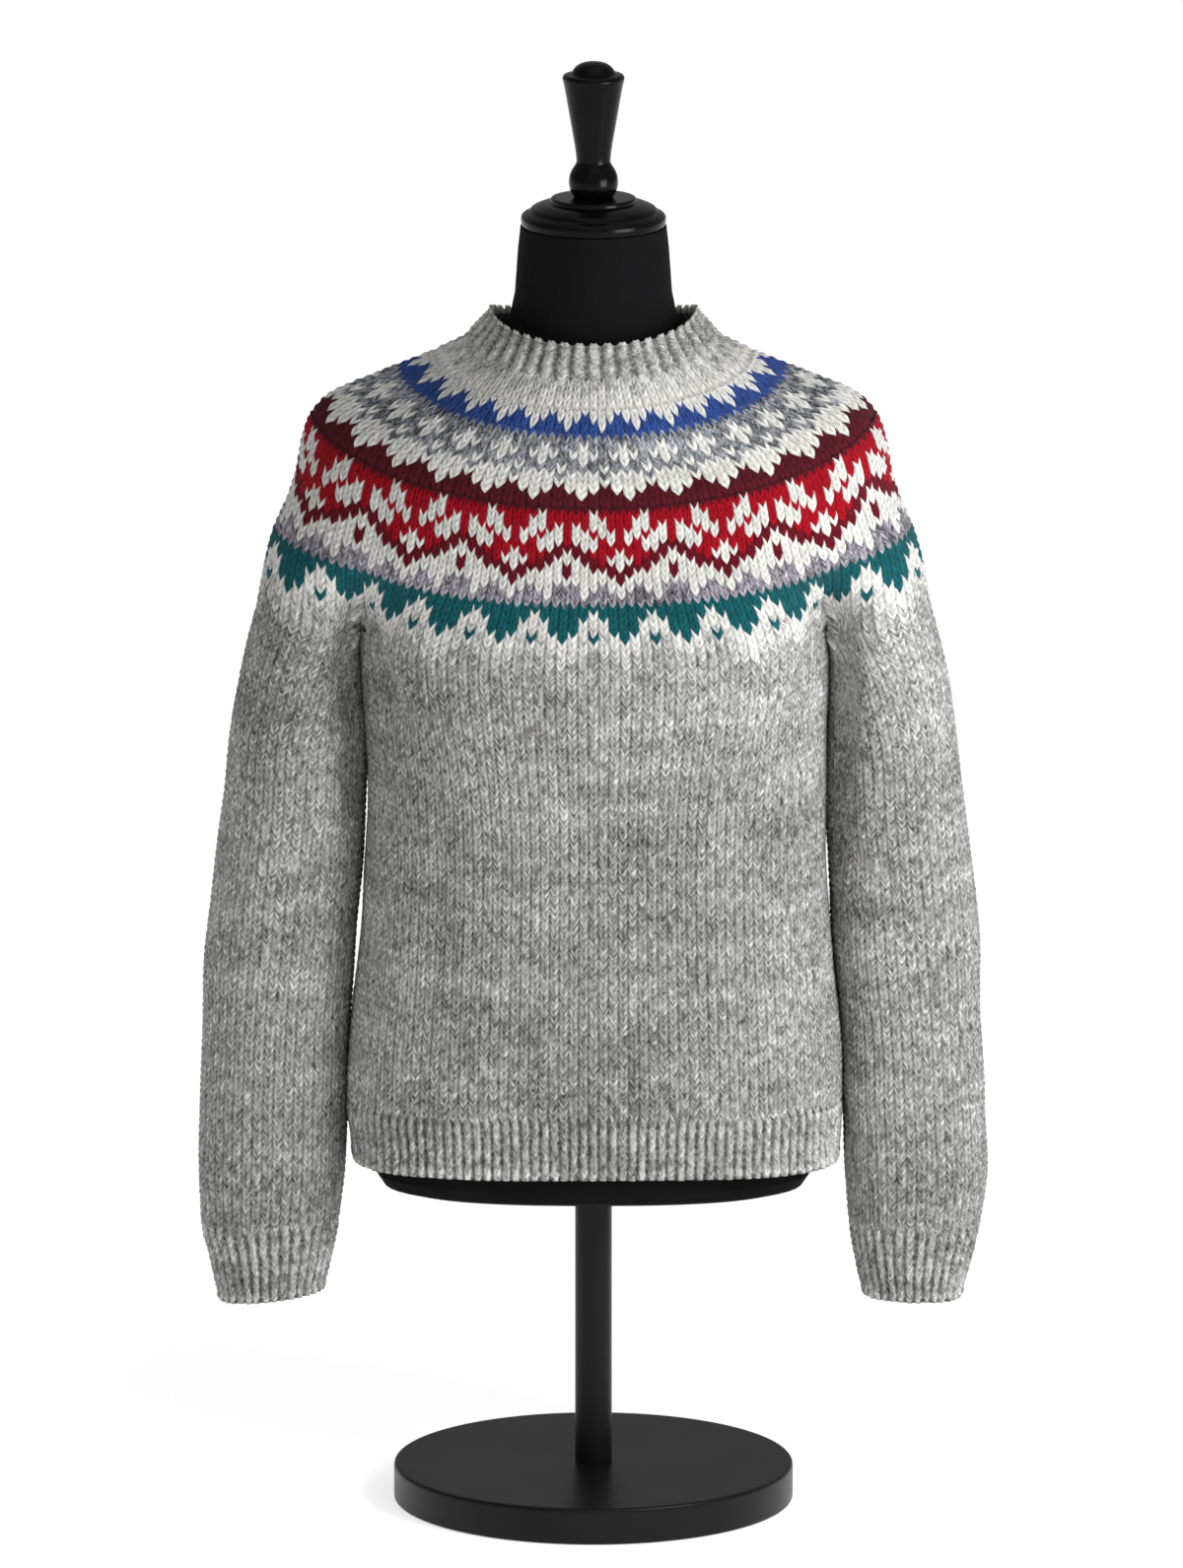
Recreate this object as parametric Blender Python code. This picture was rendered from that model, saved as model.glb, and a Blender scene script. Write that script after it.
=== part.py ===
"""A knitted sweater with a patterned round yoke, worn by a limbless dress form on a pole stand.

The sweater is knitted in the round: a body tube with a ribbed hem, two sleeve tubes with
ribbed cuffs, one round yoke that joins them, and a ribbed neckband. Every piece is a thin
wall carried through rings; each ring is an oval whose sizes come from a short table.
Tables are in millimetres. X is the wearer's side to side, the front faces -Y, Z is up, and
the origin is the middle of the base's underside.
"""

import bpy
import numpy as np

MM = 0.001

# Cloth
WALL = 3.0              # thickness of the knitted wall
NECK_WALL = 6.0         # the neckband is folded double
SEAM = 0.5              # gap where two pieces meet
REST = 0.5              # gap between the yoke and the shoulders that carry it

# Columns of each stretch of a ring
FRONT_HALF = 10         # middle front to underarm crease, and the same at the back
OVER_ARM = 14           # outer side of a sleeve, crease to crease
UNDER_ARM = 6           # underarm, crease to crease
OUTLINE_STEPS = 720     # fine points that an outline is measured along

# Stand
BASE_RADIUS = 163.0
BASE_HEIGHT = 30.0
BASE_EDGE = 2.5
POLE_RADIUS = 15.0
TURNED_SIDES = 48
FINIAL_SIDES = 28
FIT = 0.3               # gap between two hard pieces that touch

# The yoke, from the neck (share 0) to the underarms (share 1). side, front and back are how
# far the ring reaches, each with its own height; power squares the oval; rise shapes how the
# ring climbs from the middle front and back to the sides.
RING = ("side", "side_z", "front", "front_z", "back", "back_z", "power", "rise")
YOKE = {
    # share  side   side_z  front  front_z  back   back_z  power  rise
    0.00: (102.0, 969.0, -88.0, 946.0, 83.0, 950.0, 2.05, 1.10),
    0.12: (137.0, 953.0, -98.0, 920.0, 91.0, 928.0, 2.00, 1.10),
    0.27: (179.0, 936.0, -107.5, 888.0, 98.5, 899.0, 2.00, 1.15),
    0.40: (216.0, 919.0, -113.0, 862.0, 102.5, 874.0, 2.05, 1.25),
    0.47: (229.0, 904.0, -115.5, 846.0, 104.0, 860.0, 2.10, 1.35),
    0.54: (236.0, 884.0, -118.0, 830.0, 105.0, 845.0, 2.15, 1.45),
    0.63: (241.0, 857.0, -120.5, 808.0, 106.0, 824.0, 2.20, 1.55),
    0.70: (247.0, 836.0, -122.5, 791.0, 106.5, 808.0, 2.25, 1.65),
    0.80: (259.0, 806.0, -124.5, 765.0, 107.0, 782.0, 2.30, 1.80),
    0.90: (267.0, 776.0, -125.5, 740.0, 107.0, 755.0, 2.35, 1.80),
    1.00: (272.5, 746.0, -126.0, 715.0, 106.5, 727.0, 2.40, 1.80),
}
CREASE_STARTS = 0.70    # share of the yoke where the armpit creases begin to form

# The neckband above the yoke's first ring, in the same columns
NECKBAND = {
    0.35: (92.0, 979.0, -82.0, 957.0, 80.0, 960.0, 2.05, 1.10),
    0.75: (85.0, 986.0, -77.0, 968.0, 77.5, 968.5, 2.05, 1.10),
    1.00: (82.0, 989.5, -74.5, 974.5, 76.0, 974.0, 2.05, 1.10),
}

# The body, from the underarms (share 0) to the top of the hem (share 1), then the hem.
# The wearer's two sides hang a little differently.
TUBE = ("left", "right", "front", "back", "power")
BODY = {
    # share  left   right  front   back   power
    0.00: (190.0, 190.0, -126.0, 106.5, 2.6),
    0.12: (186.0, 189.5, -127.0, 106.0, 2.6),
    0.33: (182.5, 187.5, -124.0, 104.0, 2.7),
    0.65: (189.0, 192.5, -116.0, 101.0, 2.9),
    0.88: (197.5, 200.5, -110.5, 100.0, 3.0),
    1.00: (199.5, 202.0, -108.0, 100.0, 3.1),
}
HEM = {
    0.00: (199.5, 202.0, -108.0, 100.0, 3.1),
    0.50: (197.5, 200.5, -106.5, 99.5, 3.1),
    1.00: (195.5, 198.5, -106.0, 99.0, 3.2),
}
HEM_TOP = 337.0
HEM_BOTTOM = 288.0
BODY_SHARES = (0.0, 0.06, 0.14, 0.27, 0.42, 0.57, 0.72, 0.87, 1.0)
YOKE_SHARES = (0.0, 0.10, 0.20, 0.30, 0.38, 0.45, 0.53, 0.63, 0.72, 0.82, 0.91, 1.0)

# The sleeves below the underarm. inner and outer are distances from the middle of the
# sweater; deep is half the depth; middle is where that depth is centred; slant is how much
# lower the outer side is than the sleeve's middle.
SLEEVE_TOP = (183.0, 272.5, 66.0, -4.0, 2.2)
SLEEVE = ("z", "inner", "outer", "deep", "middle", "slant", "power")
SLEEVE_LEFT = (
    (690.0, 189.5, 285.5, 65.0, -3.0, -6.0, 2.2),
    (641.0, 186.5, 293.5, 62.0, -2.0, -3.0, 2.2),
    (590.0, 185.8, 299.5, 58.0, -1.0, 0.0, 2.2),
    (530.0, 188.5, 307.0, 54.0, 0.0, 2.0, 2.3),
    (470.0, 192.5, 313.5, 51.5, 0.0, 3.0, 2.3),
    (400.0, 199.5, 318.0, 50.0, -1.0, 3.0, 2.3),
    (335.0, 201.5, 319.5, 50.0, -3.0, 3.0, 2.3),
    (281.0, 202.0, 320.5, 50.0, -5.0, 3.0, 2.3),
    (231.0, 208.0, 318.5, 46.5, -6.0, 3.5, 2.3),
)
SLEEVE_RIGHT = (
    (690.0, 191.6, 285.5, 65.0, -3.0, -6.0, 2.2),
    (641.0, 189.6, 293.5, 62.0, -2.0, -3.0, 2.2),
    (590.0, 189.6, 299.5, 58.0, -1.0, 0.0, 2.2),
    (530.0, 190.8, 307.0, 54.0, 0.0, 2.0, 2.3),
    (470.0, 194.2, 313.0, 51.5, 0.0, 3.0, 2.3),
    (400.0, 202.5, 315.5, 50.0, -1.0, 3.0, 2.3),
    (335.0, 204.5, 318.0, 50.0, -3.0, 3.0, 2.3),
    (281.0, 205.0, 320.5, 50.0, -5.0, 3.0, 2.3),
    (231.0, 208.5, 314.0, 46.5, -6.0, 2.0, 2.3),
)
CUFF_LEFT = (
    (231.0, 208.0, 318.5, 46.5, -6.0, 3.5, 2.3),
    (212.0, 211.5, 313.0, 41.5, -6.5, 4.0, 2.2),
    (192.0, 216.0, 308.5, 37.0, -7.0, 4.5, 2.2),
    (173.0, 220.5, 304.0, 33.5, -7.5, 5.0, 2.2),
)
CUFF_RIGHT = (
    (231.0, 208.5, 314.0, 46.5, -6.0, 2.0, 2.3),
    (212.0, 211.5, 309.0, 41.5, -6.5, 2.0, 2.2),
    (192.0, 215.6, 304.0, 37.0, -7.0, 1.5, 2.2),
    (172.0, 220.9, 298.6, 33.5, -7.5, 1.0, 2.2),
)

# The dress form: its neck above the shoulders, then its trunk below them.
FORM_NECK = (
    (59.0, 1057.7, -59.0, 1057.7, 59.0, 1057.7, 2.0, 1.0),
    (61.0, 1040.0, -60.0, 1040.0, 60.0, 1040.0, 2.0, 1.0),
    (63.5, 1004.0, -61.0, 1000.0, 61.0, 999.0, 2.0, 1.0),
    (67.0, 987.0, -63.0, 975.0, 63.0, 972.0, 2.0, 1.0),
    (78.0, 974.0, -70.0, 956.0, 69.5, 956.0, 2.0, 1.0),
)
FORM_SHOULDERS = (0.02, 0.10, 0.20, 0.30, 0.38)     # shares of the yoke it carries
FORM_TRUNK = (
    (219.0, 898.0, -110.0, 842.0, 98.0, 866.0, 2.1, 1.4),
    (219.0, 868.0, -112.0, 815.0, 98.5, 834.0, 2.2, 1.5),
    (205.0, 818.0, -112.5, 785.0, 98.0, 796.0, 2.3, 1.7),
    (185.0, 765.0, -111.0, 752.0, 96.0, 758.0, 2.4, 1.8),
    (169.0, 690.0, -106.0, 690.0, 91.0, 690.0, 2.5, 1.0),
    (156.0, 600.0, -98.0, 600.0, 85.0, 600.0, 2.5, 1.0),
    (157.0, 500.0, -94.0, 500.0, 86.0, 500.0, 2.5, 1.0),
    (170.0, 400.0, -95.5, 400.0, 90.0, 400.0, 2.5, 1.0),
    (178.5, 310.0, -97.0, 310.0, 92.0, 310.0, 2.5, 1.0),
    (177.5, 276.5, -95.5, 276.5, 91.0, 276.5, 2.5, 1.0),
    (171.0, 266.5, -89.5, 266.5, 85.5, 266.5, 2.5, 1.0),
    (154.0, 261.5, -75.0, 261.5, 71.0, 261.5, 2.5, 1.0),
)
FORM_BOTTOM = 261.5
NECK_TOP = 1057.7

# Turned pieces, as radius and height down their outer side
NECK_CAP = (
    (32.0, 1081.5), (34.5, 1080.0), (34.5, 1077.5), (43.0, 1076.0), (50.0, 1073.5),
    (52.0, 1070.5), (57.0, 1068.0), (58.6, 1065.5), (58.6, 1061.0), (57.6, 1058.0),
)
FINIAL_CONE = ((13.8, 1112.0), (14.9, 1122.0), (18.4, 1142.0), (23.4, 1171.0), (25.0, 1178.0))
FINIAL_TOP = ((24.0, 1181.0), (19.0, 1182.5), (17.8, 1185.0), (15.0, 1189.0), (8.0, 1192.0))
BALL_RADIUS = 20.0
BALL_CENTRE = 1094.0

COLOURS = {
    "yoke": (0.42, 0.07, 0.10),
    "body": (0.40, 0.40, 0.39),
    "hem_rib": (0.36, 0.36, 0.35),
    "neck_rib": (0.50, 0.50, 0.49),
    "sleeve_left": (0.40, 0.40, 0.39),
    "sleeve_right": (0.40, 0.40, 0.39),
    "cuff_left": (0.36, 0.36, 0.35),
    "cuff_right": (0.36, 0.36, 0.35),
    "form_torso": (0.012, 0.012, 0.014),
    "neck_cap": (0.010, 0.010, 0.010),
    "finial": (0.010, 0.010, 0.010),
    "pole": (0.010, 0.010, 0.011),
    "base": (0.012, 0.012, 0.013),
}
HARD = {"neck_cap": (0.35, 0.0), "finial": (0.30, 0.0), "pole": (0.35, 0.8), "base": (0.45, 0.6)}
CLOTH_FINISH = (0.95, 0.0)      # roughness and metallic of wool and jersey


def read_rows(table, share):
    """A row of the table at each share, on a smooth curve through the table's own rows."""
    at = np.array(list(table))
    rows = np.array(list(table.values()))
    slopes = np.gradient(rows, at, axis=0)
    share = np.atleast_1d(np.asarray(share, float))
    low = np.clip(np.searchsorted(at, share, side="right") - 1, 0, len(at) - 2)
    step = (at[low + 1] - at[low])[:, None]
    t = ((share - at[low]) / (at[low + 1] - at[low]))[:, None]
    return (
        (2 * t**3 - 3 * t**2 + 1) * rows[low]
        + (t**3 - 2 * t**2 + t) * step * slopes[low]
        + (3 * t**2 - 2 * t**3) * rows[low + 1]
        + (t**3 - t**2) * step * slopes[low + 1]
    )


def signed_power(value, power):
    return np.sign(value) * np.abs(value) ** power


def lengths_along(points):
    """Distance from the first point to each point of a line."""
    steps = np.linalg.norm(np.diff(points, axis=0), axis=1)
    return np.concatenate([[0.0], np.cumsum(steps)])


def at_lengths(points, wanted, along=None):
    """The points that lie at the wanted distances along a line."""
    along = lengths_along(points) if along is None else along
    return np.stack([np.interp(wanted, along, column) for column in points.T], axis=1)


def evenly(points, count):
    """count equal steps along a line, both ends included."""
    along = lengths_along(points)
    return at_lengths(points, np.linspace(0.0, along[-1], count + 1), along)


def half_ring(row, fractions):
    """The +X half of a ring, from middle front to middle back, at fractions of its length."""
    side, side_z, front, front_z, back, back_z, power, rise = row
    angle = np.linspace(-np.pi / 2, np.pi / 2, OUTLINE_STEPS)
    sine = np.sin(angle)
    middle, deep = (front + back) / 2, (back - front) / 2
    end_z = np.where(sine < 0, front_z, back_z)
    x = side * np.abs(np.cos(angle)) ** (2 / power)
    y = middle + deep * signed_power(sine, 2 / power)
    z = side_z + (end_z - side_z) * np.abs(sine) ** rise
    points = np.stack([x, y, z], axis=1)
    along = lengths_along(points)
    return at_lengths(points, fractions * along[-1], along)


def whole_ring(right, left):
    """Two halves, both given on the +X side, as one ring that starts at the middle front."""
    mirrored = left[-2:0:-1] * (-1, 1, 1)
    return np.concatenate([right, mirrored])


def armhole_outline():
    """The +X half of the outline where body and sleeve part, as its three stretches in plan.

    The sleeve's oval overlaps the body's. The outline follows the body's oval to the crease,
    then the sleeve's oval outside the body, then the body's oval again.
    """
    half, _, front, back, power = BODY[0.0]
    middle, deep = (front + back) / 2, (back - front) / 2
    inner, outer, arm_deep, arm_middle, arm_power = SLEEVE_TOP
    angle = np.linspace(-np.pi, np.pi, 2 * OUTLINE_STEPS)
    x = (inner + outer) / 2 + (outer - inner) / 2 * signed_power(np.cos(angle), 2 / arm_power)
    y = arm_middle + arm_deep * signed_power(np.sin(angle), 2 / arm_power)
    outside = (np.abs(x) / half) ** power + (np.abs(y - middle) / deep) ** power > 1
    over_arm = np.stack([x, y], axis=1)[outside]

    def body_stretch(low, high):
        turn = np.linspace(low, high, OUTLINE_STEPS)
        return np.stack([half * np.abs(np.cos(turn)) ** (2 / power),
                         middle + deep * signed_power(np.sin(turn), 2 / power)], axis=1)

    def turn_at(y_value):
        level = (y_value - middle) / deep
        return np.arcsin(signed_power(level, power / 2))

    front_turn, back_turn = turn_at(over_arm[0, 1]), turn_at(over_arm[-1, 1])
    front_half = body_stretch(-np.pi / 2, front_turn)
    back_half = body_stretch(back_turn, np.pi / 2)
    under_arm = body_stretch(front_turn, back_turn)
    over_arm[0], over_arm[-1] = front_half[-1], back_half[0]
    return front_half, over_arm, back_half, under_arm


def fractions_of(points):
    along = lengths_along(points)
    return along / along[-1]


class Sweater:
    """The rings that the cloth pieces share."""

    def __init__(self):
        front, over, back, under = armhole_outline()
        front, back = evenly(front, FRONT_HALF), evenly(back, FRONT_HALF)
        over, self.under = evenly(over, OVER_ARM), evenly(under, UNDER_ARM)
        self.parting = np.concatenate([front[:-1], over[:-1], back])
        self.yoke_fractions = fractions_of(self.parting)
        oval = half_ring(YOKE[1.0], self.yoke_fractions)
        self.crease = self.parting - oval[:, :2]
        self.parting_z = oval[:, 2]
        body = np.concatenate([front[:-1], self.under[:-1], back])
        self.body_fractions = fractions_of(body)
        first, last = FRONT_HALF, FRONT_HALF + OVER_ARM
        under_z = np.linspace(self.parting_z[first], self.parting_z[last], UNDER_ARM + 1)
        self.under_z = under_z
        body_z = np.concatenate([self.parting_z[:first], under_z[:-1], self.parting_z[last:]])
        self.body_top = np.column_stack([body, body_z])

    def yoke_ring(self, share):
        half = half_ring(read_rows(YOKE, share)[0], self.yoke_fractions)
        t = np.clip((share - CREASE_STARTS) / (1 - CREASE_STARTS), 0, 1)
        half[:, :2] += self.crease * (3 * t**2 - 2 * t**3)
        return whole_ring(half, half)

    def body_ring(self, table, share, top, bottom):
        """A body ring whose height runs from the top's heights to a level bottom."""
        left, right, front, back, power = read_rows(table, share)[0]
        height = (1 - share) * top + share * bottom
        sides = []
        for reach in (right, left):
            row = (reach, 0.0, front, 0.0, back, 0.0, power, 1.0)
            half = half_ring(row, self.body_fractions)
            half[:, 2] = height
            sides.append(half)
        return whole_ring(*sides)

    def sleeve_top(self):
        """The sleeve's first ring, on the +X side, from front crease round to front crease."""
        first, last = FRONT_HALF, FRONT_HALF + OVER_ARM
        over = np.column_stack([self.parting[first:last], self.parting_z[first:last] - SEAM])
        under = np.column_stack([self.under, self.under_z - SEAM])[:0:-1]
        return np.concatenate([over, under]) + (SEAM, 0.0, 0.0)

    def sleeve_ring(self, row):
        """An oval sleeve ring, with its columns at the shares that the first ring has."""
        z, inner, outer, deep, middle, slant, power = row
        top = self.sleeve_top()
        share = fractions_of(np.concatenate([top, top[:1]]))[:-1]
        under_share = 1 - share[OVER_ARM]
        angle = np.linspace(-np.pi, np.pi, 2 * OUTLINE_STEPS)
        reach = (outer - inner) / 2
        cosine = signed_power(np.cos(angle), 2 / power)
        points = np.stack([
            (inner + outer) / 2 + reach * cosine,
            middle + deep * signed_power(np.sin(angle), 2 / power),
            z - slant * cosine,
        ], axis=1)
        along = lengths_along(points)
        return at_lengths(points, ((share + under_share / 2) % 1.0) * along[-1], along)


def outward(grid, before, after):
    """Unit normals of a grid of rings; before and after are the rings that it carries on from."""
    ahead = np.concatenate([grid[1:], grid[-1:] if after is None else after[None]])
    behind = np.concatenate([grid[:1] if before is None else before[None], grid[:-1]])
    down = ahead - behind
    around = np.roll(grid, -1, axis=1) - np.roll(grid, 1, axis=1)
    normal = np.cross(down, around)
    return normal / np.linalg.norm(normal, axis=2, keepdims=True)


def level(normals):
    """The same normals laid flat, so that a rim stays at its own height."""
    flat = normals * (1.0, 1.0, 0.0)
    return flat / np.linalg.norm(flat, axis=-1, keepdims=True)


def ring_faces(first, second, count, inward=False):
    """Triangles between a ring of vertices and the ring below it, split the same way throughout."""
    here = np.arange(count)
    ahead = (here + 1) % count
    faces = np.concatenate([
        np.stack([first + here, second + here, second + ahead], axis=1),
        np.stack([first + here, second + ahead, first + ahead], axis=1),
    ])
    return faces[:, ::-1] if inward else faces


def make_object(name, points, faces):
    mesh = bpy.data.meshes.new(name)
    mesh.from_pydata((points * MM).tolist(), [], [list(map(int, face)) for face in faces])
    mesh.validate()
    mesh.shade_smooth()
    mesh.set_sharp_from_angle(angle=np.radians(40))
    item = bpy.data.objects.new(name, mesh)
    bpy.context.scene.collection.objects.link(item)
    roughness, metallic = HARD.get(name, CLOTH_FINISH)
    material = bpy.data.materials.new(name)
    material.use_nodes = True
    shader = material.node_tree.nodes["Principled BSDF"]
    shader.inputs["Base Color"].default_value = (*COLOURS[name], 1.0)
    shader.inputs["Roughness"].default_value = roughness
    shader.inputs["Metallic"].default_value = metallic
    mesh.materials.append(material)
    return item


def make_wall(name, grid, normals, thickness):
    """A tube with a wall: the outer rings, the inner rings and a rim at each end."""
    rings, count = grid.shape[:2]
    inner = grid - thickness * normals
    points = np.concatenate([grid.reshape(-1, 3), inner.reshape(-1, 3)])
    inside = rings * count
    faces = []
    for ring in range(rings - 1):
        faces.append(ring_faces(ring * count, (ring + 1) * count, count))
        faces.append(ring_faces(inside + ring * count, inside + (ring + 1) * count, count, True))
    faces.append(ring_faces(inside, 0, count))
    faces.append(ring_faces((rings - 1) * count, inside + (rings - 1) * count, count))
    return make_object(name, points, np.concatenate(faces))


def make_solid(name, grid):
    """A closed solid through rings, with a flat fan at each end."""
    rings, count = grid.shape[:2]
    points = np.concatenate([grid.reshape(-1, 3), grid[:1].mean(axis=1), grid[-1:].mean(axis=1)])
    faces = [ring_faces(r * count, (r + 1) * count, count) for r in range(rings - 1)]
    here = np.arange(count)
    ahead = (here + 1) % count
    top, bottom = rings * count, rings * count + 1
    last = (rings - 1) * count
    caps = [(top, here[i], ahead[i]) for i in range(count)]
    caps += [(bottom, last + ahead[i], last + here[i]) for i in range(count)]
    return make_object(name, points, [tuple(f) for band in faces for f in band] + caps)


def turned(name, profile, sides):
    """A solid turned about Z from radius and height pairs that run down its outer side."""
    angle = np.linspace(0, 2 * np.pi, sides, endpoint=False)
    grid = np.array([
        np.stack([radius * np.cos(angle), radius * np.sin(angle), np.full(sides, z)], axis=1)
        for radius, z in profile
    ])
    return make_solid(name, grid)


def build_yoke(sweater):
    grid = np.array([sweater.yoke_ring(share) for share in YOKE_SHARES])
    above = whole_ring(*[half_ring(NECKBAND[0.35], sweater.yoke_fractions)] * 2)
    normals = outward(grid, above, None)
    normals[-1] = level(normals[-1])
    make_wall("yoke", grid, normals, WALL)
    return grid, normals


def build_neckband(sweater, yoke, yoke_normals):
    rings = [whole_ring(*[half_ring(row, sweater.yoke_fractions)] * 2)
             for row in reversed(NECKBAND.values())]
    away = rings[-1] - yoke[0]
    start = yoke[0] + away / np.linalg.norm(away, axis=1, keepdims=True) * SEAM
    grid = np.array(rings + [start])
    normals = outward(grid, None, yoke[1])
    normals[0] = level(normals[0])
    normals[-1] = yoke_normals[0]
    make_wall("neck_rib", grid, normals, NECK_WALL)


def build_body(sweater):
    top_z = sweater.body_top[:, 2] - SEAM
    grid = [sweater.body_ring(BODY, share, top_z, HEM_TOP) for share in BODY_SHARES]
    right = sweater.body_top.copy()
    right[:, 2] = top_z
    grid[0] = whole_ring(right, right)
    grid = np.array(grid)
    normals = outward(grid, None, None)
    normals[0], normals[-1] = level(normals[0]), level(normals[-1])
    make_wall("body", grid, normals, WALL)


def build_hem(sweater):
    grid = np.array([
        sweater.body_ring(HEM, share, HEM_TOP - SEAM, HEM_BOTTOM) for share in (0.0, 0.5, 1.0)
    ])
    make_wall("hem_rib", grid, level(outward(grid, None, None)), WALL)


def on_side(grid, side):
    """The grid as it is, or mirrored to -X with its rings still turning the same way."""
    return grid if side > 0 else grid[:, ::-1] * (-1, 1, 1)


def build_sleeve(sweater, name, table, side):
    rings = [sweater.sleeve_top()] + [sweater.sleeve_ring(row) for row in table]
    grid = on_side(np.array(rings), side)
    normals = outward(grid, None, None)
    normals[0], normals[-1] = level(normals[0]), level(normals[-1])
    make_wall(name, grid, normals, WALL)


def build_cuff(sweater, name, table, side):
    rings = [sweater.sleeve_ring(row) for row in table]
    rings[0] = rings[0] - (0, 0, SEAM)
    grid = on_side(np.array(rings), side)
    make_wall(name, grid, level(outward(grid, None, None)), WALL)


def build_form(sweater):
    """The dress form; its shoulders follow the yoke's inside, a small gap below it."""
    fractions = sweater.yoke_fractions
    neck = [whole_ring(*[half_ring(row, fractions)] * 2) for row in FORM_NECK]
    trunk = [whole_ring(*[half_ring(row, fractions)] * 2) for row in FORM_TRUNK]
    cloth = np.array([sweater.yoke_ring(share) for share in FORM_SHOULDERS])
    above = whole_ring(*[half_ring(NECKBAND[0.35], fractions)] * 2)
    normals = outward(cloth, above, sweater.yoke_ring(FORM_SHOULDERS[-1] + 0.08))
    clear = np.full(len(cloth), WALL + REST)
    clear[0] = NECK_WALL + 1.5
    shoulders = cloth - clear[:, None, None] * normals
    make_solid("form_torso", np.concatenate([neck, shoulders, trunk]))


def build_stand():
    ball_angle = np.radians(np.linspace(35, -35, 6))
    ball = [(BALL_RADIUS * np.cos(a), BALL_CENTRE + BALL_RADIUS * np.sin(a)) for a in ball_angle]
    top, cone = list(reversed(FINIAL_TOP)), list(reversed(FINIAL_CONE))
    turned("neck_cap", NECK_CAP, TURNED_SIDES)
    turned("finial", top + cone + ball + [(12.5, NECK_CAP[0][1] + FIT)], FINIAL_SIDES)
    turned("pole", [(POLE_RADIUS, FORM_BOTTOM - FIT), (POLE_RADIUS, BASE_HEIGHT + FIT)], 32)
    edge = [(BASE_RADIUS - BASE_EDGE, BASE_HEIGHT), (BASE_RADIUS - 0.7, BASE_HEIGHT - 0.7),
            (BASE_RADIUS, BASE_HEIGHT - BASE_EDGE), (BASE_RADIUS, 1.5), (BASE_RADIUS - 1.5, 0.0)]
    turned("base", edge, 2 * TURNED_SIDES)


def main():
    for item in list(bpy.data.objects):
        bpy.data.objects.remove(item)
    sweater = Sweater()
    yoke, yoke_normals = build_yoke(sweater)
    build_neckband(sweater, yoke, yoke_normals)
    build_body(sweater)
    build_hem(sweater)
    for name, table, cuff, side in (("left", SLEEVE_LEFT, CUFF_LEFT, -1),
                                    ("right", SLEEVE_RIGHT, CUFF_RIGHT, 1)):
        build_sleeve(sweater, f"sleeve_{name}", table, side)
        build_cuff(sweater, f"cuff_{name}", cuff, side)
    build_form(sweater)
    build_stand()


main()
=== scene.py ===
"""A hand-knitted wool sweater with a patterned round yoke, worn by a limbless dress form.

Every knitted piece is a closed shell made of a lattice of stitches. A stitch is a pair of
leaning legs, so the lattice rows dip in a V across each stitch and the legs stand out from
it. Lengths in the tables are in millimetres; X is the side, the front faces -Y, Z is up.
"""

import logging
from dataclasses import dataclass, field
from enum import Enum

import bpy
import numpy as np
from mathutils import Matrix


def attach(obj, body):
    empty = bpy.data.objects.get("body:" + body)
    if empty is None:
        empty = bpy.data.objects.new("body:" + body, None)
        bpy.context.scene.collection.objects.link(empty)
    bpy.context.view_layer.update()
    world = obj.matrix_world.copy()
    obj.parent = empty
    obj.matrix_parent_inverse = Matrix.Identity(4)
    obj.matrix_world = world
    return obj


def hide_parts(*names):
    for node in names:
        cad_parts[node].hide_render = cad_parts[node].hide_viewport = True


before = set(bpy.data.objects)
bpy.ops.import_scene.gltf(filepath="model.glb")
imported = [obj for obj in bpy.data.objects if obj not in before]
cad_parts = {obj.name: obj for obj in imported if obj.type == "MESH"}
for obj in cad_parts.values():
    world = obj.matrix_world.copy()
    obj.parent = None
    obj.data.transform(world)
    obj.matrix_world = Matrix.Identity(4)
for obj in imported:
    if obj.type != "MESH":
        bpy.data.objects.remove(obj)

Array = np.ndarray
Row = tuple[float, ...]

LOG = logging.getLogger("sweater")
MM = 0.001
HALF_OVAL = 720  # points on half an oval before they are spaced evenly
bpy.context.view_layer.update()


# ---------------------------------------------------------------- curves and rings

def smooth_step(value: Array | float) -> Array:
    """Eases a share from 0 to 1: three times its square less twice its cube.

    Args:
        value: share, clipped to 0 and 1.

    Returns:
        The eased share.
    """
    share = np.clip(value, 0.0, 1.0)
    return share * share * (3.0 - 2.0 * share)


def through(knots: Array, rows: Array, wanted: Array) -> Array:
    """Reads rows on a smooth cubic curve through the given ones.

    Each span is a cubic whose ends have the slope between their two neighbours. Past the
    ends the curve carries on straight.

    Args:
        knots: increasing position of each row.
        rows: the rows, one array each.
        wanted: positions to read.

    Returns:
        One row for each wanted position.
    """
    knots = np.asarray(knots, float)
    rows = np.asarray(rows, float)
    wanted = np.atleast_1d(np.asarray(wanted, float))
    slopes = np.gradient(rows, knots, axis=0)
    low = np.clip(np.searchsorted(knots, wanted, side="right") - 1, 0, len(knots) - 2)
    shape = (-1,) + (1,) * (rows.ndim - 1)
    span = (knots[low + 1] - knots[low]).reshape(shape)
    inside = np.clip(wanted, knots[0], knots[-1])
    t = ((inside - knots[low]).reshape(shape)) / span
    over = (wanted - inside).reshape(shape)
    curve = (
        (2 * t**3 - 3 * t**2 + 1) * rows[low]
        + (t**3 - 2 * t**2 + t) * span * slopes[low]
        + (3 * t**2 - 2 * t**3) * rows[low + 1]
        + (t**3 - t**2) * span * slopes[low + 1]
    )
    return curve + over * np.where(over < 0, slopes[low], slopes[low + 1])


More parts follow.
